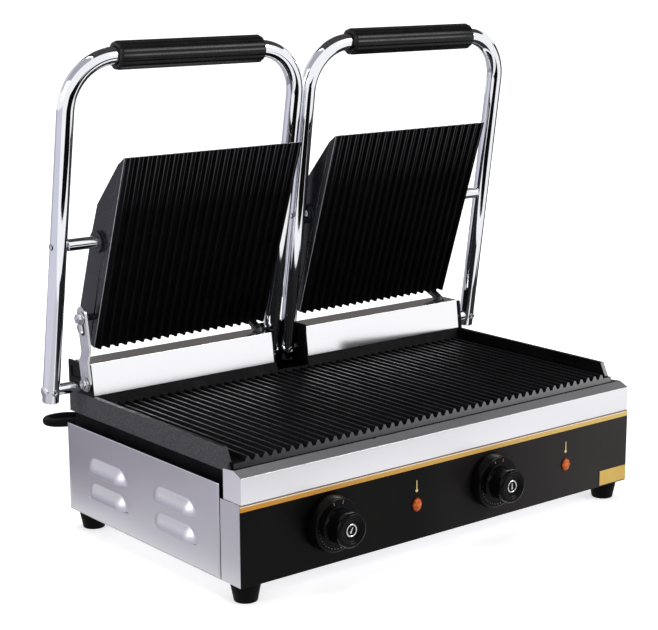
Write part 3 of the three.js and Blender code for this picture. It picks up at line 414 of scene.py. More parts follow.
def refined(node, material, width, segments=2, angle=28, edge_material=None):
    """The node's own shape with its edges rounded, as pressed sheet or a casting has them."""
    bm = bmesh.new()
    bm.from_mesh(cad_nodes[node].data)
    bmesh.ops.remove_doubles(bm, verts=bm.verts, dist=0.00002)
    bmesh.ops.dissolve_limit(bm, angle_limit=math.radians(0.5), verts=bm.verts, edges=bm.edges)
    edges = [e for e in bm.edges if len(e.link_faces) == 2 and e.calc_face_angle(0) > math.radians(angle)]
    bmesh.ops.bevel(bm, geom=edges, offset=width * MM, offset_type="OFFSET", segments=segments, profile=0.5,
                    affect="EDGES", clamp_overlap=True, material=1 if edge_material else -1)
    obj = to_object(node + "_finish", bm, material)
    if edge_material:
        obj.data.materials.append(edge_material)
    obj.modifiers.new("face_normals", "WEIGHTED_NORMAL").keep_sharp = True
    return obj


def refine(node, body, slot, material, width, segments=2, angle=28):
    fitted(refined(node, material, width, segments, angle), body, slot, node)


# Outlines
def ring_points(radius, angles):
    return [(radius * math.cos(a), radius * math.sin(a)) for a in angles]


def circle(radius, count):
    return ring_points(radius, (2 * math.pi * k / count for k in range(count)))


def arc_corner(before, corner, after, radius, steps):
    """Points that round one corner of a polyline."""
    into = (before - corner).normalized()
    out = (after - corner).normalized()
    half = into.angle(out) / 2
    setback = min(radius / math.tan(half), 0.49 * (before - corner).length, 0.49 * (after - corner).length)
    radius = setback * math.tan(half)
    centre = corner + (into + out).normalized() * (radius / math.sin(half))
    start = corner + into * setback - centre
    end = corner + out * setback - centre
    turn = start.angle(end)
    points = []
    for step in range(steps + 1):
        share = step / steps
        spoke = start * math.sin((1 - share) * turn) + end * math.sin(share * turn)
        points.append(centre + spoke / math.sin(turn))
    return points


def rounded_line(points, radius, steps):
    """An open polyline in any plane with its inner corners rounded."""
    points = [Vector(p) if len(p) == 3 else Vector((*p, 0)) for p in points]
    line = [points[0]]
    for before, corner, after in zip(points, points[1:], points[2:]):
        line += arc_corner(before, corner, after, radius, steps)
    return line + [points[-1]]


def rounded_box(low, high, radius, steps):
    """A rectangle between two corners, with its own corners rounded."""
    points = [Vector((x, y, 0)) for x, y in (low, (high[0], low[1]), high, (low[0], high[1]))]
    loop = []
    for i, corner in enumerate(points):
        loop += arc_corner(points[i - 1], corner, points[(i + 1) % 4], radius, steps)
    return [(p.x, p.y) for p in loop]


def profile_line(points, radius, steps):
    return [(p.x, p.y) for p in rounded_line(points, radius, steps)]


def divided(line, step, whole):
    """A line with its points about a step apart. whole(number) makes a number of steps whole."""
    dense = []
    for first, second in zip(line, line[1:]):
        pieces = max(1, whole((second - first).length / step))
        dense += [first.lerp(second, k / pieces) for k in range(pieces)]
    return dense + [line[-1]]


# Solids
def strip(bm, first, second):
    """Faces between two rings of as many points."""
    for k in range(len(first)):
        j = (k + 1) % len(first)
        bm.faces.new((first[k], first[j], second[j], second[k]))


def lathe(profile, segments, ripple=None):
    """A profile of (radius, height) turned round the Z axis. ripple(angle, radius, height) sets a radius."""
    bm = bmesh.new()
    rings = []
    for radius, height in profile:
        if radius < 1e-6:
            rings.append([bm.verts.new((0, 0, height))])
            continue
        ring = []
        for i in range(segments):
            angle = 2 * math.pi * i / segments
            r = ripple(angle, radius, height) if ripple else radius
            ring.append(bm.verts.new((r * math.cos(angle), r * math.sin(angle), height)))
        rings.append(ring)
    for first, second in zip(rings, rings[1:]):
        if len(first) == len(second) > 1:
            strip(bm, first, second)
            continue
        for i in range(segments):
            j = (i + 1) % segments
            if len(second) > 1:
                bm.faces.new((first[0], second[i], second[j]))
            elif len(first) > 1:
                bm.faces.new((first[i], first[j], second[0]))
    return bm


def round_bar(radius, low, high, fillet, steps, sides):
    """A bar along the Z axis with rounded rims."""
    return lathe(profile_line([(0, low), (radius, low), (radius, high), (0, high)], fillet, steps), sides)


def sweep(points, radius, sides, swell):
    """A round tube along a line of points, closed at its ends. swell(distance) scales its radius."""
    bm = bmesh.new()
    ahead = points[1:] + points[-1:]
    behind = points[:1] + points[:-1]
    tangents = [(after - before).normalized() for before, after in zip(behind, ahead)]
    side = tangents[0].orthogonal().normalized()
    travelled = 0.0
    rings = []
    for i, point in enumerate(points):
        if i:
            travelled += (point - points[i - 1]).length
            side = tangents[i - 1].rotation_difference(tangents[i]) @ side
        side = (side - tangents[i] * side.dot(tangents[i])).normalized()
        other = tangents[i].cross(side)
        r = radius * swell(travelled)
        rings.append([bm.verts.new(point + (side * x + other * y) * r) for x, y in circle(1, sides)])
    for first, second in zip(rings, rings[1:]):
        strip(bm, first, second)
    bm.faces.new(rings[0][::-1])
    bm.faces.new(rings[-1])
    return bm


def prism(loop, low, high):
    """A flat outline in X and Y, drawn out from one height to another."""
    bm = bmesh.new()
    bottom = [bm.verts.new((x, y, low)) for x, y in loop]
    top = [bm.verts.new((x, y, high)) for x, y in loop]
    bm.faces.new(bottom[::-1])
    bm.faces.new(top)
    strip(bm, bottom, top)
    return bm


def bar(half_width, half_length, low, high):
    return prism([(-half_width, -half_length), (half_width, -half_length), (half_width, half_length),
                  (-half_width, half_length)], low, high)


def joined(*pieces):
    whole = bmesh.new()
    for bm in pieces:
        mesh = bpy.data.meshes.new("part")
        bm.to_mesh(mesh)
        bm.free()
        whole.from_mesh(mesh)
        bpy.data.meshes.remove(mesh)
    return whole


def moved(bm, matrix):
    bm.transform(matrix)
    return bm


def pointing(place, direction, spin=0.0):
    """A frame at a place, with its Z axis along a direction."""
    turn = Vector(direction).to_track_quat("Z", "Y").to_matrix().to_4x4()
    return Matrix.Translation(place) @ turn @ Matrix.Rotation(spin, 4, "Z")


# Fasteners
def hex_nut(across, height, bolt):
    """A nut with chamfered corners, and the rounded end of its bolt."""
    bm = prism(circle(across / math.sqrt(3), 6), 0, height)
    rim = [e for e in bm.edges if all(v.co.z > height / 2 for v in e.verts)]
    bmesh.ops.bevel(bm, geom=rim, offset=across * 0.07, offset_type="OFFSET", segments=2, profile=0.5,
                    affect="EDGES")
    return joined(bm, round_bar(bolt, height * 0.2, height * 1.35, bolt * 0.3, 4, 20))


def washer_and_nut(across, height, bolt):
    washer = round_bar(7, 0, 1, 0.3, 2, 32)
    return joined(washer, moved(hex_nut(across, height, bolt), Matrix.Translation((0, 0, 1))))


def socket_screw(radius, height):
    """A round head with a hexagonal socket."""
    socket = radius * 0.52

    def six_sided(angle, r, h):
        return r if r > radius * 0.6 else r * (0.93 + 0.07 * math.cos(6 * angle))

    floor_level = height * 0.45
    profile = [(0, floor_level), (socket, floor_level), (socket, height * 0.98), (socket * 1.06, height),
               (radius * 0.86, height), (radius * 0.96, height * 0.94), (radius, height * 0.8), (radius, 0),
               (0, 0)]
    return lathe(profile, 24, six_sided)


def pan_screw(radius, height):
    """A domed head, and two thin bars that stand for its crossed recess."""
    dome = [(radius * math.cos(a), height * math.sin(a)) for a in (math.pi / 2 * k / 6 for k in range(6))]
    head = lathe([(0, -0.2), (radius, -0.2), *dome, (radius * 0.2, height), (0, height)], 24)
    bars = []
    for turn in (0, math.pi / 2):
        slot = bar(radius * 0.5, radius * 0.1, height * 0.985, height * 1.01)
        bars.append(moved(slot, Matrix.Rotation(turn, 4, "Z")))
    return head, joined(*bars)


# Supply lead, drawn first: its route is the solid model's own
CORD_RADIUS = 4.5
CORD_GROUND = CORD_RADIUS - FOOT_HEIGHT
COIL_X = 110
COIL_Y = DEPTH + 93
COIL_RADIUS = 60
COIL_TURNS = 3.5
COIL_PITCH = 10.2
COIL_LAYER = 9.8
COIL_GROUND = CORD_GROUND + 1.2
COIL_STEPS = 24
PLUG_RADIUS = 18.5
PLUG_AXIS = PLUG_RADIUS - FOOT_HEIGHT
PLUG_RUN = 72
GLAND = (-95, DEPTH, 68)
GLAND_END = 32.3

# Points of the route from the gland to the coil: across, behind the body, and up
CORD_ROUTE = [
    (-95, GLAND_END, 68), (-95, 55, 68), (-97, 69, 67), (-106, 79, 66), (-119, 84, 65.5), (-140, 85, 65),
    (-168, 84, 63), (-189, 90, 61), (-203, 102, 59), (-209, 118, 57), (-204, 135, 55), (-190, 148, 52.5),
    (-170, 154, 50), (-140, 155, 44), (-100, 154, 33), (-60, 153.5, 19), (-20, 153.2, 5), (20, 153, -6),
    (60, 153, -12.5), (85, 153, -13.3),
]

# Share of the run from the coil to the plug, and of the rise on the way
CORD_RISE = ((0.25, 1 / 3), (0.5, 5 / 6), (0.75, 1), (1, 1))


def coil_points():
    points = [(COIL_X - 2 * CORD_RADIUS, COIL_Y + COIL_RADIUS, COIL_GROUND)]
    for i in range(round(COIL_TURNS * COIL_STEPS) + 1):
        turn = i / COIL_STEPS
        from_middle = turn - COIL_TURNS / 2
        radius = COIL_RADIUS - COIL_PITCH * (COIL_TURNS / 2 - abs(from_middle))
        climb = min(max(from_middle * 2 + 0.5, 0), 1)
        angle = math.pi / 2 - 2 * math.pi * turn
        points.append((COIL_X + radius * math.cos(angle), COIL_Y + radius * math.sin(angle),
                       COIL_GROUND + COIL_LAYER * climb))
    x, y, z = points[-1]
    for run, lift in CORD_RISE:
        points.append((x - PLUG_RUN * run, y, z + (PLUG_AXIS - z) * lift))
    return points


def cord_line(points):
    curve = bpy.data.curves.new("supply_lead", "CURVE")
    curve.dimensions = "3D"
    curve.bevel_depth = (CORD_RADIUS - 0.1) * MM
    curve.bevel_resolution = 5
    curve.resolution_u = 6
    curve.use_fill_caps = True
    spline = curve.splines.new("BEZIER")
    spline.bezier_points.add(len(points) - 1)
    for point, place in zip(spline.bezier_points, points):
        point.co = place
        point.handle_left_type = point.handle_right_type = "AUTO"
    curve.materials.append(RUBBER)
    return fitted(linked("supply_lead", curve), "housing", "cord_rubber", "power_cord", "cord_coil")


def cord_grommet():
    """The grommet in the rear panel, with its bending relief of six ribs."""
    rings = [(0, -8), (8, -8), (8, 0.3), (11.4, 0.3), (12, 0.9), (12, 3.4), (11.4, 4), (8.2, 4.3)]
    for k in range(6):
        start = 6 + 4.1 * k
        shrink = 2.0 * (start - 4) / 28
        rings += [(8 - shrink, start - 0.8), (8 - shrink, start + 1.4), (6.3 - shrink * 0.5, start + 1.7),
                  (6.2 - shrink * 0.55, start + 2.9)]
    rings += [(5.9, 31), (5.7, 31.8), (5.2, 32), (0, 32)]
    return put("cord_grommet", lathe(rings, 40), RUBBER, BODY @ pointing(GLAND, TO_BACK), "housing",
               "cord_rubber", "cable_gland")


def cord_band():
    """A rubber band round the coil's strands."""
    wall = 0.8
    half = 5
    inner = COIL_RADIUS - COIL_PITCH * COIL_TURNS / 2 - CORD_RADIUS - SEAT
    outer = COIL_RADIUS + CORD_RADIUS + SEAT
    foot = COIL_GROUND - CORD_RADIUS - SEAT
    top = COIL_GROUND + COIL_LAYER + CORD_RADIUS + SEAT
    loop_out = rounded_box((inner - wall, foot - wall), (outer + wall, top + wall), 3.4, 6)
    loop_in = rounded_box((inner, foot), (outer, top), 2.8, 6)
    bm = bmesh.new()
    rows = []
    for loop, y in ((loop_out, -half), (loop_out, half), (loop_in, half), (loop_in, -half)):
        rows.append([bm.verts.new((x, y, z)) for x, z in loop])
    for first, second in zip(rows, rows[1:] + rows[:1]):
        strip(bm, first, second)
    return put("cord_band", bm, RUBBER, BODY @ Matrix.Translation((COIL_X, COIL_Y, 0)), "housing",
               "cord_rubber", "cord_tie", sharp=50)


def mains_plug(cord_end):
    """A round plug with a ribbed neck and a fluted grip, and its two pins."""
    profile = [(0, 0), (5.2, 0), (5.7, 0.4)]
    for k in range(4):
        start = 3 + 5 * k
        wider = 0.3 * k
        profile += [(5.9 + wider, start), (6.1 + wider, start + 2.6), (5.3 + wider, start + 3),
                    (5.3 + wider, start + 4.4)]
    profile += [(7, 24), (9.5, 27.5), (14.6, 33.5), (16.8, 35.8), (17.8, 37), (18.4, 39), (PLUG_RADIUS, 41),
                (PLUG_RADIUS, 66.4), (18.1, 67.6), (17.2, 68), (14.5, 68), (14, 67.4), (13.4, 67.4),
                (12.9, 68), (0, 68)]

    def finger_grip(angle, radius, height):
        if 40 < height < 62 and radius > 17:
            return radius - 0.45 * (0.5 + 0.5 * math.cos(18 * angle))
        return radius

    x, y, z = cord_end
    place = BODY @ pointing((x - SEAT, y, z), TO_LEFT, math.pi / 2)
    bm = lathe(profile, 108, finger_grip)
    plug = put("mains_plug", bm, RUBBER, place, "housing", "cord_rubber", "plug")
    pins = [moved(round_bar(2.4, 65, 87, 1.3, 5, 24), Matrix.Translation((0, y, 0))) for y in (-9.5, 9.5)]
    return plug, put("plug_pins", joined(*pins), PLAIN_STEEL, place, "housing", "plain_steel")


def make_lead():
    coil = coil_points()
    lead = cord_line([at(x, DEPTH + behind, z) for x, behind, z in CORD_ROUTE] + [at(*p) for p in coil])
    gland = cord_grommet()
    tie = cord_band()
    plug, prongs = mains_plug(coil[-1])


make_lead()


# Side panels with pressed louvres
LOUVRE_HALF = 36
LOUVRE_RISE = 15
LOUVRE_DEPTH = 6
LOUVRE_Y = (DEPTH * 0.357, DEPTH * 0.754)
LOUVRE_Z = (23.5, 49.5)
SLIT = 0.05
SHEET = 1.2


def louvre_bulge(y, z):
    for middle in LOUVRE_Y:
        for foot in LOUVRE_Z:
            rise = (z - foot) / LOUVRE_RISE
            if rise < -1e-6 or rise > 1:
                continue
            beyond = max(0, abs(y - middle) - (LOUVRE_HALF - LOUVRE_RISE)) / LOUVRE_RISE
            reach = math.hypot(beyond, rise)
            if reach < 1:
                return LOUVRE_DEPTH * (1 - reach ** 2) ** 1.1
    return 0.0


def spaced(limits, fine, fine_step, coarse_step):
    """Places between two limits, closer together in the fine spans."""
    place, end = limits
    values = {place, end}
    while place < end:
        place += fine_step if any(a - 1 <= place <= b + 1 for a, b in fine) else coarse_step
        values.add(min(place, end))
    return values


def side_panel(name):
    side = SIDES[name]
    spans = [(middle - LOUVRE_HALF, middle + LOUVRE_HALF) for middle in LOUVRE_Y]
    ys = sorted(spaced((FRONT_RETURN + 0.9, DEPTH), spans, 1.2, 4))
    rises = [(foot, foot + LOUVRE_RISE) for foot in LOUVRE_Z]
    zs = {z for z in spaced((0, SIDE_TOP), rises, 1.0, 3) if all(abs(z - foot) > 0.2 for foot in LOUVRE_Z)}
    for foot in LOUVRE_Z:
        zs |= {foot - SLIT, foot}
    zs = sorted(zs)
    bm = bmesh.new()
    grid = [[bm.verts.new((side * (HALF_WIDTH + louvre_bulge(y, z)), y, z)) for y in ys] for z in zs]
    for row in range(len(zs) - 1):
        at_slit = any(abs(zs[row] - (foot - SLIT)) < 1e-6 for foot in LOUVRE_Z)
        for column in range(len(ys) - 1):
            opened = louvre_bulge(ys[column], zs[row + 1]) + louvre_bulge(ys[column + 1], zs[row + 1]) > 0.02
            if at_slit and opened:
                continue
            corners = (*grid[row][column:column + 2], *grid[row + 1][column:column + 2][::-1])
            bm.faces.new(corners if side > 0 else corners[::-1])
    panel = to_object("side_panel_" + name + "_finish", bm, STEEL, BODY, 50, turn_faces=False)
    # Its cut edges are dark: a painted shadow in the seam at the front post
    panel.data.materials.append(SEAM_SHADOW)
    thick = panel.modifiers.new("sheet", "SOLIDIFY")
    thick.thickness = SHEET * MM
    thick.offset = -1
    thick.material_offset_rim = 1
    fitted(panel, "housing", "stainless", "side_panel_" + name)


for name in SIDES:
    side_panel(name)

refine("front_panel", "housing", "stainless", STEEL, 0.25)
refine("rear_panel", "housing", "stainless", STEEL, 0.4, 2, 50)
refine("base_plate", "housing", "stainless", STEEL, 0.4)
refine("front_fascia", "housing", "fascia", FASCIA, 0.15, 1, 50)
refine("blank_plate", "housing", "gold_plate", GOLD, 0.25)
refine("grease_tray", "tray", "bright_stainless", BRIGHT_STEEL, 0.15)
refine("lower_grill_plate", "housing", "cast_iron", LOWER_CASTING, 0.4)


# Feet: hollow rubber cones
FOOT_X = 238
FOOT_Y = {"front": 17, "rear": 281}
FOOT_PROFILE = [(0, 0), (3.5, 0), (3.5, 2), (9, 2), (9, 0), (11, 0), (14, 15), (14, 18.7), (0, 18.7)]

for row, y in FOOT_Y.items():
    for name, side in SIDES.items():
        cone = lathe(profile_line(FOOT_PROFILE, 0.8, 4), 48)
        place = BODY @ Matrix.Translation((side * FOOT_X, y, -FOOT_HEIGHT))
        put(f"rubber_foot_{row}_{name}", cone, RUBBER, place, "housing", "foot_rubber", f"foot_{row}_{name}")


# Knobs
SKIRT_TOP = 14.02
SKIRT_PROFILE = [(0, 2), (27.5, 2), (27.4, 6.5), (26, 13.2), (24.6, 14), (17.4, 14.1), (16.2, 16)]
CAP_PROFILE = [(16.0, 20), (16.3, 24), (16.8, 28), (17, 31), (16.7, 33), (15.8, 34.4), (14.4, 35),
               (12.9, 34.8), (11.7, 34.0), (10.9, 33.0), (9.6, 32.3), (7.6, 32.0), (0, 31.9)]
BADGE_PROFILE = [(4.9, 32.0), (4.9, 32.9), (5.2, 33.1), (5.9, 33.1), (6.2, 32.9), (6.2, 32.0)]
BADGE_TILT = {"left": -28, "right": 0}
MARK_SPAN = (-0.02, 0.12)


def knob_badge():
    """A silver ring with a pointer for the cap's hollow."""
    ring = lathe(BADGE_PROFILE, 48)
    pointer = prism([(-0.75, -2.6), (0.75, -2.6), (0.5, 3.1), (-0.5, 3.1)], 31.8, 32.7)
    dot = moved(prism(circle(1.1, 16), 31.8, 32.75), Matrix.Translation((0, -1.9, 0)))
    return joined(ring, pointer, dot)


def knob_scale():
    """Marks for the skirt: two index strokes and a row of growing dots."""
    marks = []
    for degrees in (76, 104):
        angle = math.radians(degrees)
        spot = (22 * math.cos(angle), 22 * math.sin(angle), SKIRT_TOP)
        turned = Matrix.Translation(spot) @ Matrix.Rotation(angle - math.pi / 2, 4, "Z")
        marks.append(moved(bar(0.45, 1.6, *MARK_SPAN), turned))
    for k in range(11):
        angle = math.radians(182 + 9.5 * k)
        spot = (22.4 * math.cos(angle), 22.4 * math.sin(angle), SKIRT_TOP)
        marks.append(moved(prism(circle(0.25 + 0.045 * k, 12), *MARK_SPAN), Matrix.Translation(spot)))
    return joined(*marks)


def scallops(angle, radius, height):
    """Twelve shallow flutes round the knob's cap."""
    if height < 17 or radius < 12.5:
        return radius
    return radius - 0.3 * (0.5 + 0.5 * math.cos(12 * angle)) ** 2


def knob(name):
    body = name + "_knob"
    place = BODY @ pointing((KNOB_X[name], 0, KNOB_Z), TO_FRONT)
    profile = profile_line(SKIRT_PROFILE, 1.0, 5) + CAP_PROFILE
    put("dial_knob_" + name, lathe(profile, 144, scallops), BLACK_PLASTIC, place, body, "black_plastic",
        "knob_" + name, sharp=40)
    tilt = Matrix.Rotation(math.radians(BADGE_TILT[name]), 4, "Z")
    put("knob_badge_" + name, knob_badge(), PLAIN_STEEL, place @ tilt, body, "plain_steel")
    put("knob_scale_" + name, knob_scale(), WHITE_MARK, place, body, "black_plastic")
    put("control_rod_" + name, round_bar(3, -22.6, 19.6, 0.5, 3, 32), PLAIN_STEEL, place, body, "plain_steel",
        "thermostat_spindle_" + name)


# Lamps: a bezel and a faceted lens, a little taller than wide, and a printed thermometer
LAMP_STRETCH = Matrix.Diagonal((1, 1.18, 1, 1))
BEZEL_PROFILE = [(0, -24), (5, -24), (5, SEAT), (6, SEAT), (6, 0.9), (5.6, 1.3), (5.2, 1.1)]
LENS_PROFILE = [(5.4, 1.0), (5.1, 1.8), (3.9, 2.6), (2.2, 3.0), (0, 3.1)]
STEM = [(0.62, 1.6), (0.55, 9.6), (0, 10.6), (-0.55, 9.6), (-0.62, 1.6)]


def lamp(name):
    place = BODY @ pointing((LAMP_X[name], 0, LAMP_Z), TO_FRONT) @ LAMP_STRETCH
    bezel = lathe(profile_line(BEZEL_PROFILE, 0.2, 3), 48)
    # The bezel's dark red is painted shade round the lens
    put("lamp_bezel_" + name, bezel, BEZEL_SHADE_RED, place, "housing", "amber_lens", "lamp_" + name)
    put("lamp_lens_" + name, lathe(LENS_PROFILE, 8), AMBER, place, "housing", "amber_lens", sharp=8)
    bulb = ring_points(1.7, (math.radians(-245 + 15.5 * k) for k in range(1, 20)))
    icon_place = BODY @ pointing((LAMP_X[name], 0, ICON_Z), TO_FRONT)
    put("lamp_icon_" + name, prism(STEM + bulb, 0.02, 0.12), PALE_GOLD, icon_place, "housing", "fascia")


for name in SIDES:
    knob(name)
    lamp(name)


# Hinge line
for name, width in (("left", 0.5), ("right", 0.5), ("centre", 0.6)):
    refine("hinge_bracket_" + name, "housing", "black_paint", BLACK_PAINT, width)
for name in SIDES:
    refine("hinge_cover_" + name, "housing", "bright_stainless", POLISHED_STEEL, 0.5, 3)

BEND_RADIUS = 50
ARM_FOOT = -12
END_ROUND = 1.2
SHAFT_ENDS = (3.5, 290.5)
ROD_RADIUS = 6


def handle_line():
    """The tube's middle line, bent twice, with points close together at its cut ends."""
    corners = [(-ARM_X, 0, ARM_FOOT), (-ARM_X, 0, HANDLE_REACH), (ARM_X, 0, HANDLE_REACH),
               (ARM_X, 0, ARM_FOOT)]
    line = divided(rounded_line(corners, BEND_RADIUS, 28), 12, round)
    near_ends = (0.02, 0.06, 0.12)
    foot = [line[0].lerp(line[1], share) for share in near_ends]
    end = [line[-1].lerp(line[-2], share) for share in reversed(near_ends)]
    return [line[0], *foot, *line[1:-1], *end, line[-1]]


def handle_tube():
    line = handle_line()
    total = sum((b - a).length for a, b in zip(line, line[1:]))

    def end_round(distance):
        near = min(distance, total - distance)
        return 1 if near > END_ROUND else 1 - 0.14 * (1 - max(near, 0) / END_ROUND) ** 2

    return sweep(line, TUBE_RADIUS, 40, end_round)


# The grip: a fluted sleeve with rounded ends
GRIP_HALF = 84.5
GRIP_RADIUS = 13.85
GRIP_EDGE = 2.6
GRIP_BORE = 9.0


def fluted(angle, radius, height):
    if radius < 12:
        return radius
    return radius - 0.5 * (0.5 + 0.5 * math.cos(11 * angle)) ** 2


def grip_sleeve():
    shoulder = GRIP_RADIUS - GRIP_EDGE
    level = GRIP_HALF - GRIP_EDGE
    end = [(GRIP_BORE, GRIP_HALF - 1.2), (GRIP_BORE + 0.2, GRIP_HALF), (shoulder, GRIP_HALF)]
    end += [(shoulder + GRIP_EDGE * math.sin(a), level + GRIP_EDGE * math.cos(a))
            for a in (math.pi / 2 * k / 6 for k in range(1, 7))]
    middle = [(GRIP_RADIUS, level - 2 * level * k / 8) for k in range(1, 8)]
    return lathe(end + middle + [(r, -h) for r, h in reversed(end)], 160, fluted)


def lid_hardware(name):
    side = SIDES[name]
    lid = lid_frame(name)
    body = name + "_handle"
    put("handle_tube_" + name, handle_tube(), CHROME, lid, body, "chrome", "handle_" + name, sharp=40)
    grip_place = lid @ pointing((0, 0, HANDLE_REACH), TO_RIGHT)
    put("handle_grip_" + name, grip_sleeve(), GRIP_PLASTIC, grip_place, body, "black_plastic", "grip_" + name,
        sharp=45)
    arms = {"inner" if arm * side < 0 else "outer": arm for arm in (-1, 1)}

    # The rod that carries the plate, and the screws that hold it in the arms
    reach = ARM_X - TUBE_RADIUS - SEAT
    rod = round_bar(ROD_RADIUS, -reach, reach, 0.6, 3, 48)
    rod_place = lid @ pointing((0, 0, ROD_REACH), TO_RIGHT)
    put("support_rod_" + name, rod, CHROME, rod_place, body, "plain_steel", "plate_rod_" + name)
    for place_name, arm in arms.items():
        spot = lid @ pointing((arm * (ARM_X + TUBE_RADIUS - 1.85), 0, ROD_REACH), (arm, 0, 0))
        put(f"rod_screw_{name}_{place_name}", socket_screw(3.6, 1.8), HOSE_STEEL, spot, body, "plain_steel")

    # The shaft in the hinge, and the grub screws that lock the arms to it
    low, high = sorted(side * end for end in SHAFT_ENDS)
    shaft = round_bar(ROD_RADIUS, low, high, 0.6, 3, 48)
    shaft_place = BODY @ pointing((0, HINGE_Y, HINGE_Z), TO_RIGHT)
    put("hinge_rod_" + name, shaft, CHROME, shaft_place, body, "plain_steel", "hinge_shaft_" + name)
    for place_name, arm in arms.items():
        spot = lid @ pointing((arm * ARM_X, -(TUBE_RADIUS - 0.9), 0), TO_FRONT)
        put(f"grub_screw_{name}_{place_name}", socket_screw(3.4, 1.6), PLAIN_STEEL, spot, body, "plain_steel")


# The upper plates' materials after the first: rib edges with a painted highlight, the smooth sides, and the
# outer edges with a paler painted highlight
RIB_EDGE = 1
SMOOTH_SIDE = 2
OUTER_EDGE = 3


def finish_sides(plate):
    """The plate's sides are smooth as the cover is, and its outer edges and rib ends carry painted
    highlights; rib edges that don't face left stay black.
    """
    mesh = plate.data
    mesh.materials.append(CAST_COVER)
    mesh.materials.append(LIT_EDGE)
    left = min(v.co.x for v in mesh.vertices)
    right = max(v.co.x for v in mesh.vertices)
    top = max(v.co.z for v in mesh.vertices)
    for face in mesh.polygons:
        at_side = min(face.center.x - left, right - face.center.x) < 0.8 * MM
        at_top = face.center.z > top - 9 * MM
        if face.material_index == RIB_EDGE and (at_side or at_top):
            face.material_index = OUTER_EDGE
        elif face.material_index == RIB_EDGE and face.normal.x > -0.1:
            face.material_index = 0
        elif at_side and abs(face.normal.x) > 0.9:
            face.material_index = SMOOTH_SIDE


def plate_pieces(name):
    plate = refined("upper_grill_plate_" + name, CAST_IRON, 0.5, edge_material=RIB_HIGHLIGHT)
    finish_sides(plate)
    fitted(plate, name + "_plate", "cast_iron", "upper_grill_plate_" + name)
    refine("upper_cover_" + name, name + "_plate", "cast_iron", CAST_COVER, 1.4, 3, 20)


for name in SIDES:
    lid_hardware(name)
    plate_pieces(name)


# Tilt lever at the left end, with the nut in its slot and its pivot's bolt
LEVER_FACE = -253.8
LEVER_PIVOT = (260.7, 138)
PIN_DROP = 79.5
PIN_DEPTH = -9.2


def lever_fasteners():
    rod, up, back = plate_axes("left")
    pin = rod - up * PIN_DROP + back * PIN_DEPTH
    slot_place = BODY @ pointing((LEVER_FACE + 3.6, pin.y, pin.z), TO_LEFT)
    put("slot_nut", washer_and_nut(9, 4, 2.6), PLAIN_STEEL, slot_place, "lever", "plain_steel")
    pivot_place = BODY @ pointing((LEVER_FACE - SEAT, *LEVER_PIVOT), TO_LEFT)
    shank = lathe([(0, -6), (2.9, -6), (2.9, 0.5), (0, 0.5)], 24)
    bolt = joined(washer_and_nut(8.6, 3, 2.2), shank)
    put("lever_pivot_bolt", bolt, PLAIN_STEEL, pivot_place, "housing", "plain_steel", "tilt_lever_pivot")


refine("tilt_lever", "lever", "plain_steel", PLAIN_STEEL, 0.5)
lever_fasteners()


# Wound hoses that lead the wires from the covers into the upper plates
HOSE_X = 100
HOSE_TOP_DROP = 110.6
HOSE_TOP_DEPTH = 0.8
HOSE_FOOT = (HINGE_Y - 8, 153.4)
HOSE_RADIUS = 4.5
HOSE_STRAIGHT = 4.5
WINDING = 2.6


def hose(name):
    rod, up, back = plate_axes(name)
    rod.x += HOSE_X
    foot = Vector((rod.x, *HOSE_FOOT))
    top = rod - up * HOSE_TOP_DROP + back * HOSE_TOP_DEPTH
    rise = Vector((0, 0, HOSE_STRAIGHT))
    above = foot + rise
    below = top - up * HOSE_STRAIGHT
    handles = (above, above + rise, below - up * HOSE_STRAIGHT, below)
    line = [foot]
    steps = 90
    for k in range(steps + 1):
        t = k / steps
        line.append(handles[0] * (1 - t) ** 3 + handles[1] * 3 * t * (1 - t) ** 2
                    + handles[2] * 3 * t * t * (1 - t) + handles[3] * t ** 3)
    line.append(top)

    def wound(distance):
        return 0.9 + 0.1 * abs(math.sin(math.pi * distance / WINDING))

    bm = sweep(divided(line, 0.45, math.ceil), HOSE_RADIUS, 20, wound)
    piece = to_object("wire_hose_" + name, bm, HOSE_STEEL, BODY, 70)
    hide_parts("wire_conduit_" + name)
    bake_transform(piece)


for name in SIDES:
    hose(name)


# Screws of the rear panel and the base: across and up
REAR_SCREWS = ((-235, 76), (-78, 76), (78, 76), (235, 76), (-235, 10), (235, 10))


def panel_screws():
    heads = []
    recess_shades = []
    for x, z in REAR_SCREWS:
        head, slot = pan_screw(3.6, 1.7)
        place = pointing((x, DEPTH, z), TO_BACK)
        heads.append(moved(head, place))
        recess_shades.append(moved(slot, place))
    put("rear_screws", joined(*heads), PLAIN_STEEL, BODY, "housing", "plain_steel")
    # The recesses are black bars on the heads: painted shade
    put("rear_screw_recess_shades", joined(*recess_shades), BLACK_PAINT, BODY, "housing", "black_paint")


panel_screws()


def finish_inner(node, material):
    """An inner piece keeps its own solid."""
    data = cad_nodes[node].data
    data.materials.clear()
    data.materials.append(material)


for name in SIDES:
    for kind in ("lower_heater_", "upper_heater_", "torsion_spring_"):
        finish_inner(kind + name, HEATER_STEEL)
    finish_inner("thermostat_" + name, BLACK_PLASTIC)
finish_inner("terminal_block", BLACK_PLASTIC)


# Floor, boards and lights
def bare_tree(name):
    material = bpy.data.materials.new(name)
    material.use_nodes = True
    material.node_tree.nodes.clear()
    return material, material.node_tree


def surfaced(tree, shader):
    tree.links.new(shader, new_node(tree, "OutputMaterial").inputs["Surface"])


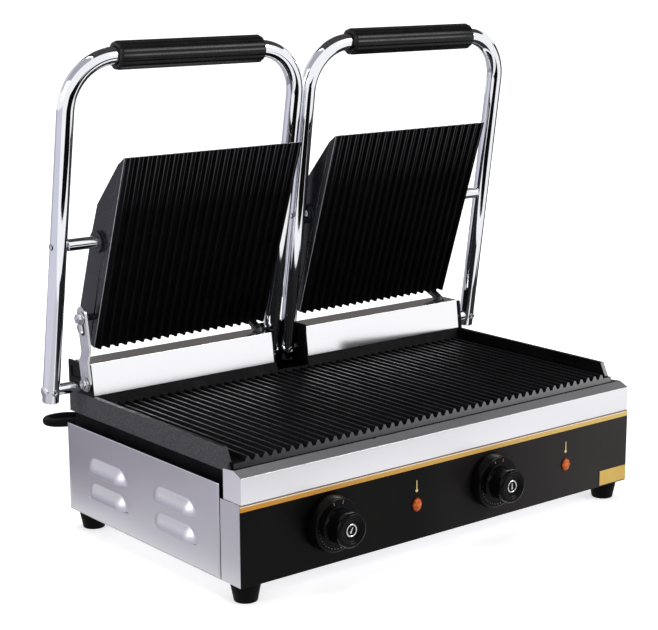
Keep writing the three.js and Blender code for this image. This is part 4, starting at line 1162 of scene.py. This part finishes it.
def floor_look():
    """A pale floor that lights the set as plain paint, and looks white to the camera and in metal."""
    material, tree = bare_tree("pale_floor")

    def diffuse(value):
        node = new_node(tree, "BsdfDiffuse")
        node.inputs["Color"].default_value = (value, value, value, 1)
        return node.outputs[0]

    def choose(share, first, second):
        node = new_node(tree, "MixShader")
        for socket, source in zip(node.inputs, (share, first, second)):
            tree.links.new(source, socket)
        return node.outputs[0]

    # Its glow for the camera grows with the distance from the object
    distance = new_node(tree, "VectorMath")
    distance.operation = "LENGTH"
    tree.links.new(object_place(tree), distance.inputs[0])
    far_glow = new_node(tree, "Emission")
    tree.links.new(spread(tree, distance.outputs["Value"], 0.5, 0.85, 0.5, 2.0), far_glow.inputs["Strength"])
    seen = new_node(tree, "AddShader")
    tree.links.new(far_glow.outputs[0], seen.inputs[0])
    tree.links.new(diffuse(0.8), seen.inputs[1])

    white = new_node(tree, "Emission")
    rays = new_node(tree, "LightPath").outputs
    mirrored = worked(tree, "MAXIMUM", rays["Is Glossy Ray"], rays["Is Transmission Ray"])
    surface = choose(mirrored, diffuse(0.6), white.outputs[0])
    surfaced(tree, choose(rays["Is Camera Ray"], surface, seen.outputs[0]))
    return material


def plane(*corners):
    bm = bmesh.new()
    bm.faces.new([bm.verts.new(corner) for corner in corners])
    return bm


def level_plane(low, high, height):
    (x0, y0), (x1, y1) = low, high
    return plane((x0, y0, height), (x1, y0, height), (x1, y1, height), (x0, y1, height))


def board(name, bm, color):
    """A board beside the set, which only polished metal mirrors."""
    material, tree = bare_tree(name + "_board")
    glow = new_node(tree, "Emission")
    glow.inputs["Color"].default_value = (*color, 1)
    surfaced(tree, glow.outputs[0])
    piece = to_object(name, bm, material)
    piece.visible_camera = False
    piece.visible_diffuse = False
    piece.visible_shadow = False
    piece.visible_transmission = False


def level_board(name, low, high, height, color):
    board(name, level_plane(low, high, height), color)


def upright_board(name, start, end, top, color):
    (x0, y0), (x1, y1) = start, end
    board(name, plane((x0, y0, 0), (x1, y1, 0), (x1, y1, top), (x0, y0, top)), color)


def area_light(name, place, toward, size, power, color=(1, 1, 1)):
    data = bpy.data.lights.new(name, "AREA")
    data.shape = "RECTANGLE"
    data.size, data.size_y = size
    data.energy = power
    data.color = color
    light = linked(name, data)
    light.location = place
    light.rotation_euler = (Vector(toward) - Vector(place)).to_track_quat("-Z", "Y").to_euler()


def surroundings():
    """A white room to the camera and in metal and glass, and a dimmer source of diffuse light from above."""
    world = bpy.data.worlds.new("studio")
    bpy.context.scene.world = world
    world.use_nodes = True
    tree = world.node_tree
    back = tree.nodes["Background"]
    upward = axes(tree, new_node(tree, "TexCoord").outputs["Generated"])["Z"]
    rays = new_node(tree, "LightPath").outputs
    plain = worked(tree, "MAXIMUM", rays["Is Camera Ray"], rays["Is Glossy Ray"])
    plain = worked(tree, "MAXIMUM", plain, rays["Is Transmission Ray"])
    strength = new_node(tree, "Mix")
    strength.data_type = "FLOAT"
    tree.links.new(plain, strength.inputs[0])
    tree.links.new(spread(tree, upward, 0.35, 0.6, -0.2, 1), strength.inputs[2])
    strength.inputs[3].default_value = 1.0
    tree.links.new(strength.outputs[0], back.inputs["Strength"])
    back.inputs["Color"].default_value = (1, 1, 1, 1)


FLOOR_REACH = 40
floor = level_plane((-FLOOR_REACH, -FLOOR_REACH), (FLOOR_REACH, FLOOR_REACH), 0)
to_object("floor", floor, floor_look())
surroundings()
area_light("key", (1.9, -2.4, 1.9), (0, 0, 0.2), (1.6, 1.4), 46)
area_light("top", (0.0, 0.5, 2.6), (0, 0, 0.2), (2.0, 1.2), 30)
area_light("fill", (-2.4, 0.2, 1.2), (0, 0, 0.25), (1.2, 1.2), 14, (0.97, 0.96, 1.0))

# Colours and heights that boards share. On the floor, the darker ones lie over the others.
GREY = (0.47, 0.465, 0.53)
PALE_BLUE = (0.66, 0.66, 0.75)
DARK = (0.03, 0.03, 0.03)
BLACK = (0.004, 0.004, 0.004)
PALE_LEVEL = 0.002
DARK_LEVEL = 0.003
BLACK_LEVEL = 0.004
PALE_CEILING = 1.95
DARK_CEILING = 1.9

level_board("pale_floor_left", (-0.6, -0.3), (-0.3, 0.2), PALE_LEVEL, (0.6, 0.59, 0.63))
level_board("grey_floor_left", (-0.6, 0.2), (-0.3, 0.3), PALE_LEVEL, (0.42, 0.4, 0.45))
level_board("deep_floor_left", (-0.6, 0.3), (-0.3, 2.0), PALE_LEVEL, (0.3, 0.28, 0.32))
level_board("far_floor_left", (-2.2, -0.3), (-0.6, 2.0), PALE_LEVEL, PALE_BLUE)
level_board("grey_ceiling_left", (-2.6, -0.9), (-0.5, 1.4), PALE_CEILING, (0.42, 0.42, 0.47))
level_board("pale_ceiling_back", (-4.0, 1.4), (-0.5, 5.0), PALE_CEILING, (0.6, 0.6, 0.65))
level_board("black_floor_side", (0.33, -0.26), (0.75, 0.9), DARK_LEVEL, DARK)
level_board("grey_floor_back", (-0.3, 0.32), (0.5, 2.0), PALE_LEVEL, GREY)
upright_board("grey_wall_left", (-1.3, -0.3), (-1.3, 1.6), 0.3, PALE_BLUE)
upright_board("grey_wall_back", (-1.3, 1.6), (0.6, 1.6), 0.35, GREY)
upright_board("dark_wall_back", (0.6, 1.6), (1.6, 0.9), 1.5, (0.13, 0.12, 0.115))
upright_board("black_wall_right", (1.6, 0.9), (1.6, -0.3), 0.7, DARK)
level_board("black_floor_right", (0.75, -0.1), (1.6, 0.9), DARK_LEVEL, DARK)
level_board("black_floor_front", (-0.6, -1.3), (0.5, -0.52), BLACK_LEVEL, BLACK)
upright_board("black_wall_front", (-0.6, -1.3), (0.3, -1.3), 0.22, BLACK)
level_board("dark_ceiling", (-0.4, -0.9), (3.2, 2.4), DARK_CEILING, (0.05, 0.048, 0.048))

bpy.context.scene.view_settings.view_transform = "Standard"
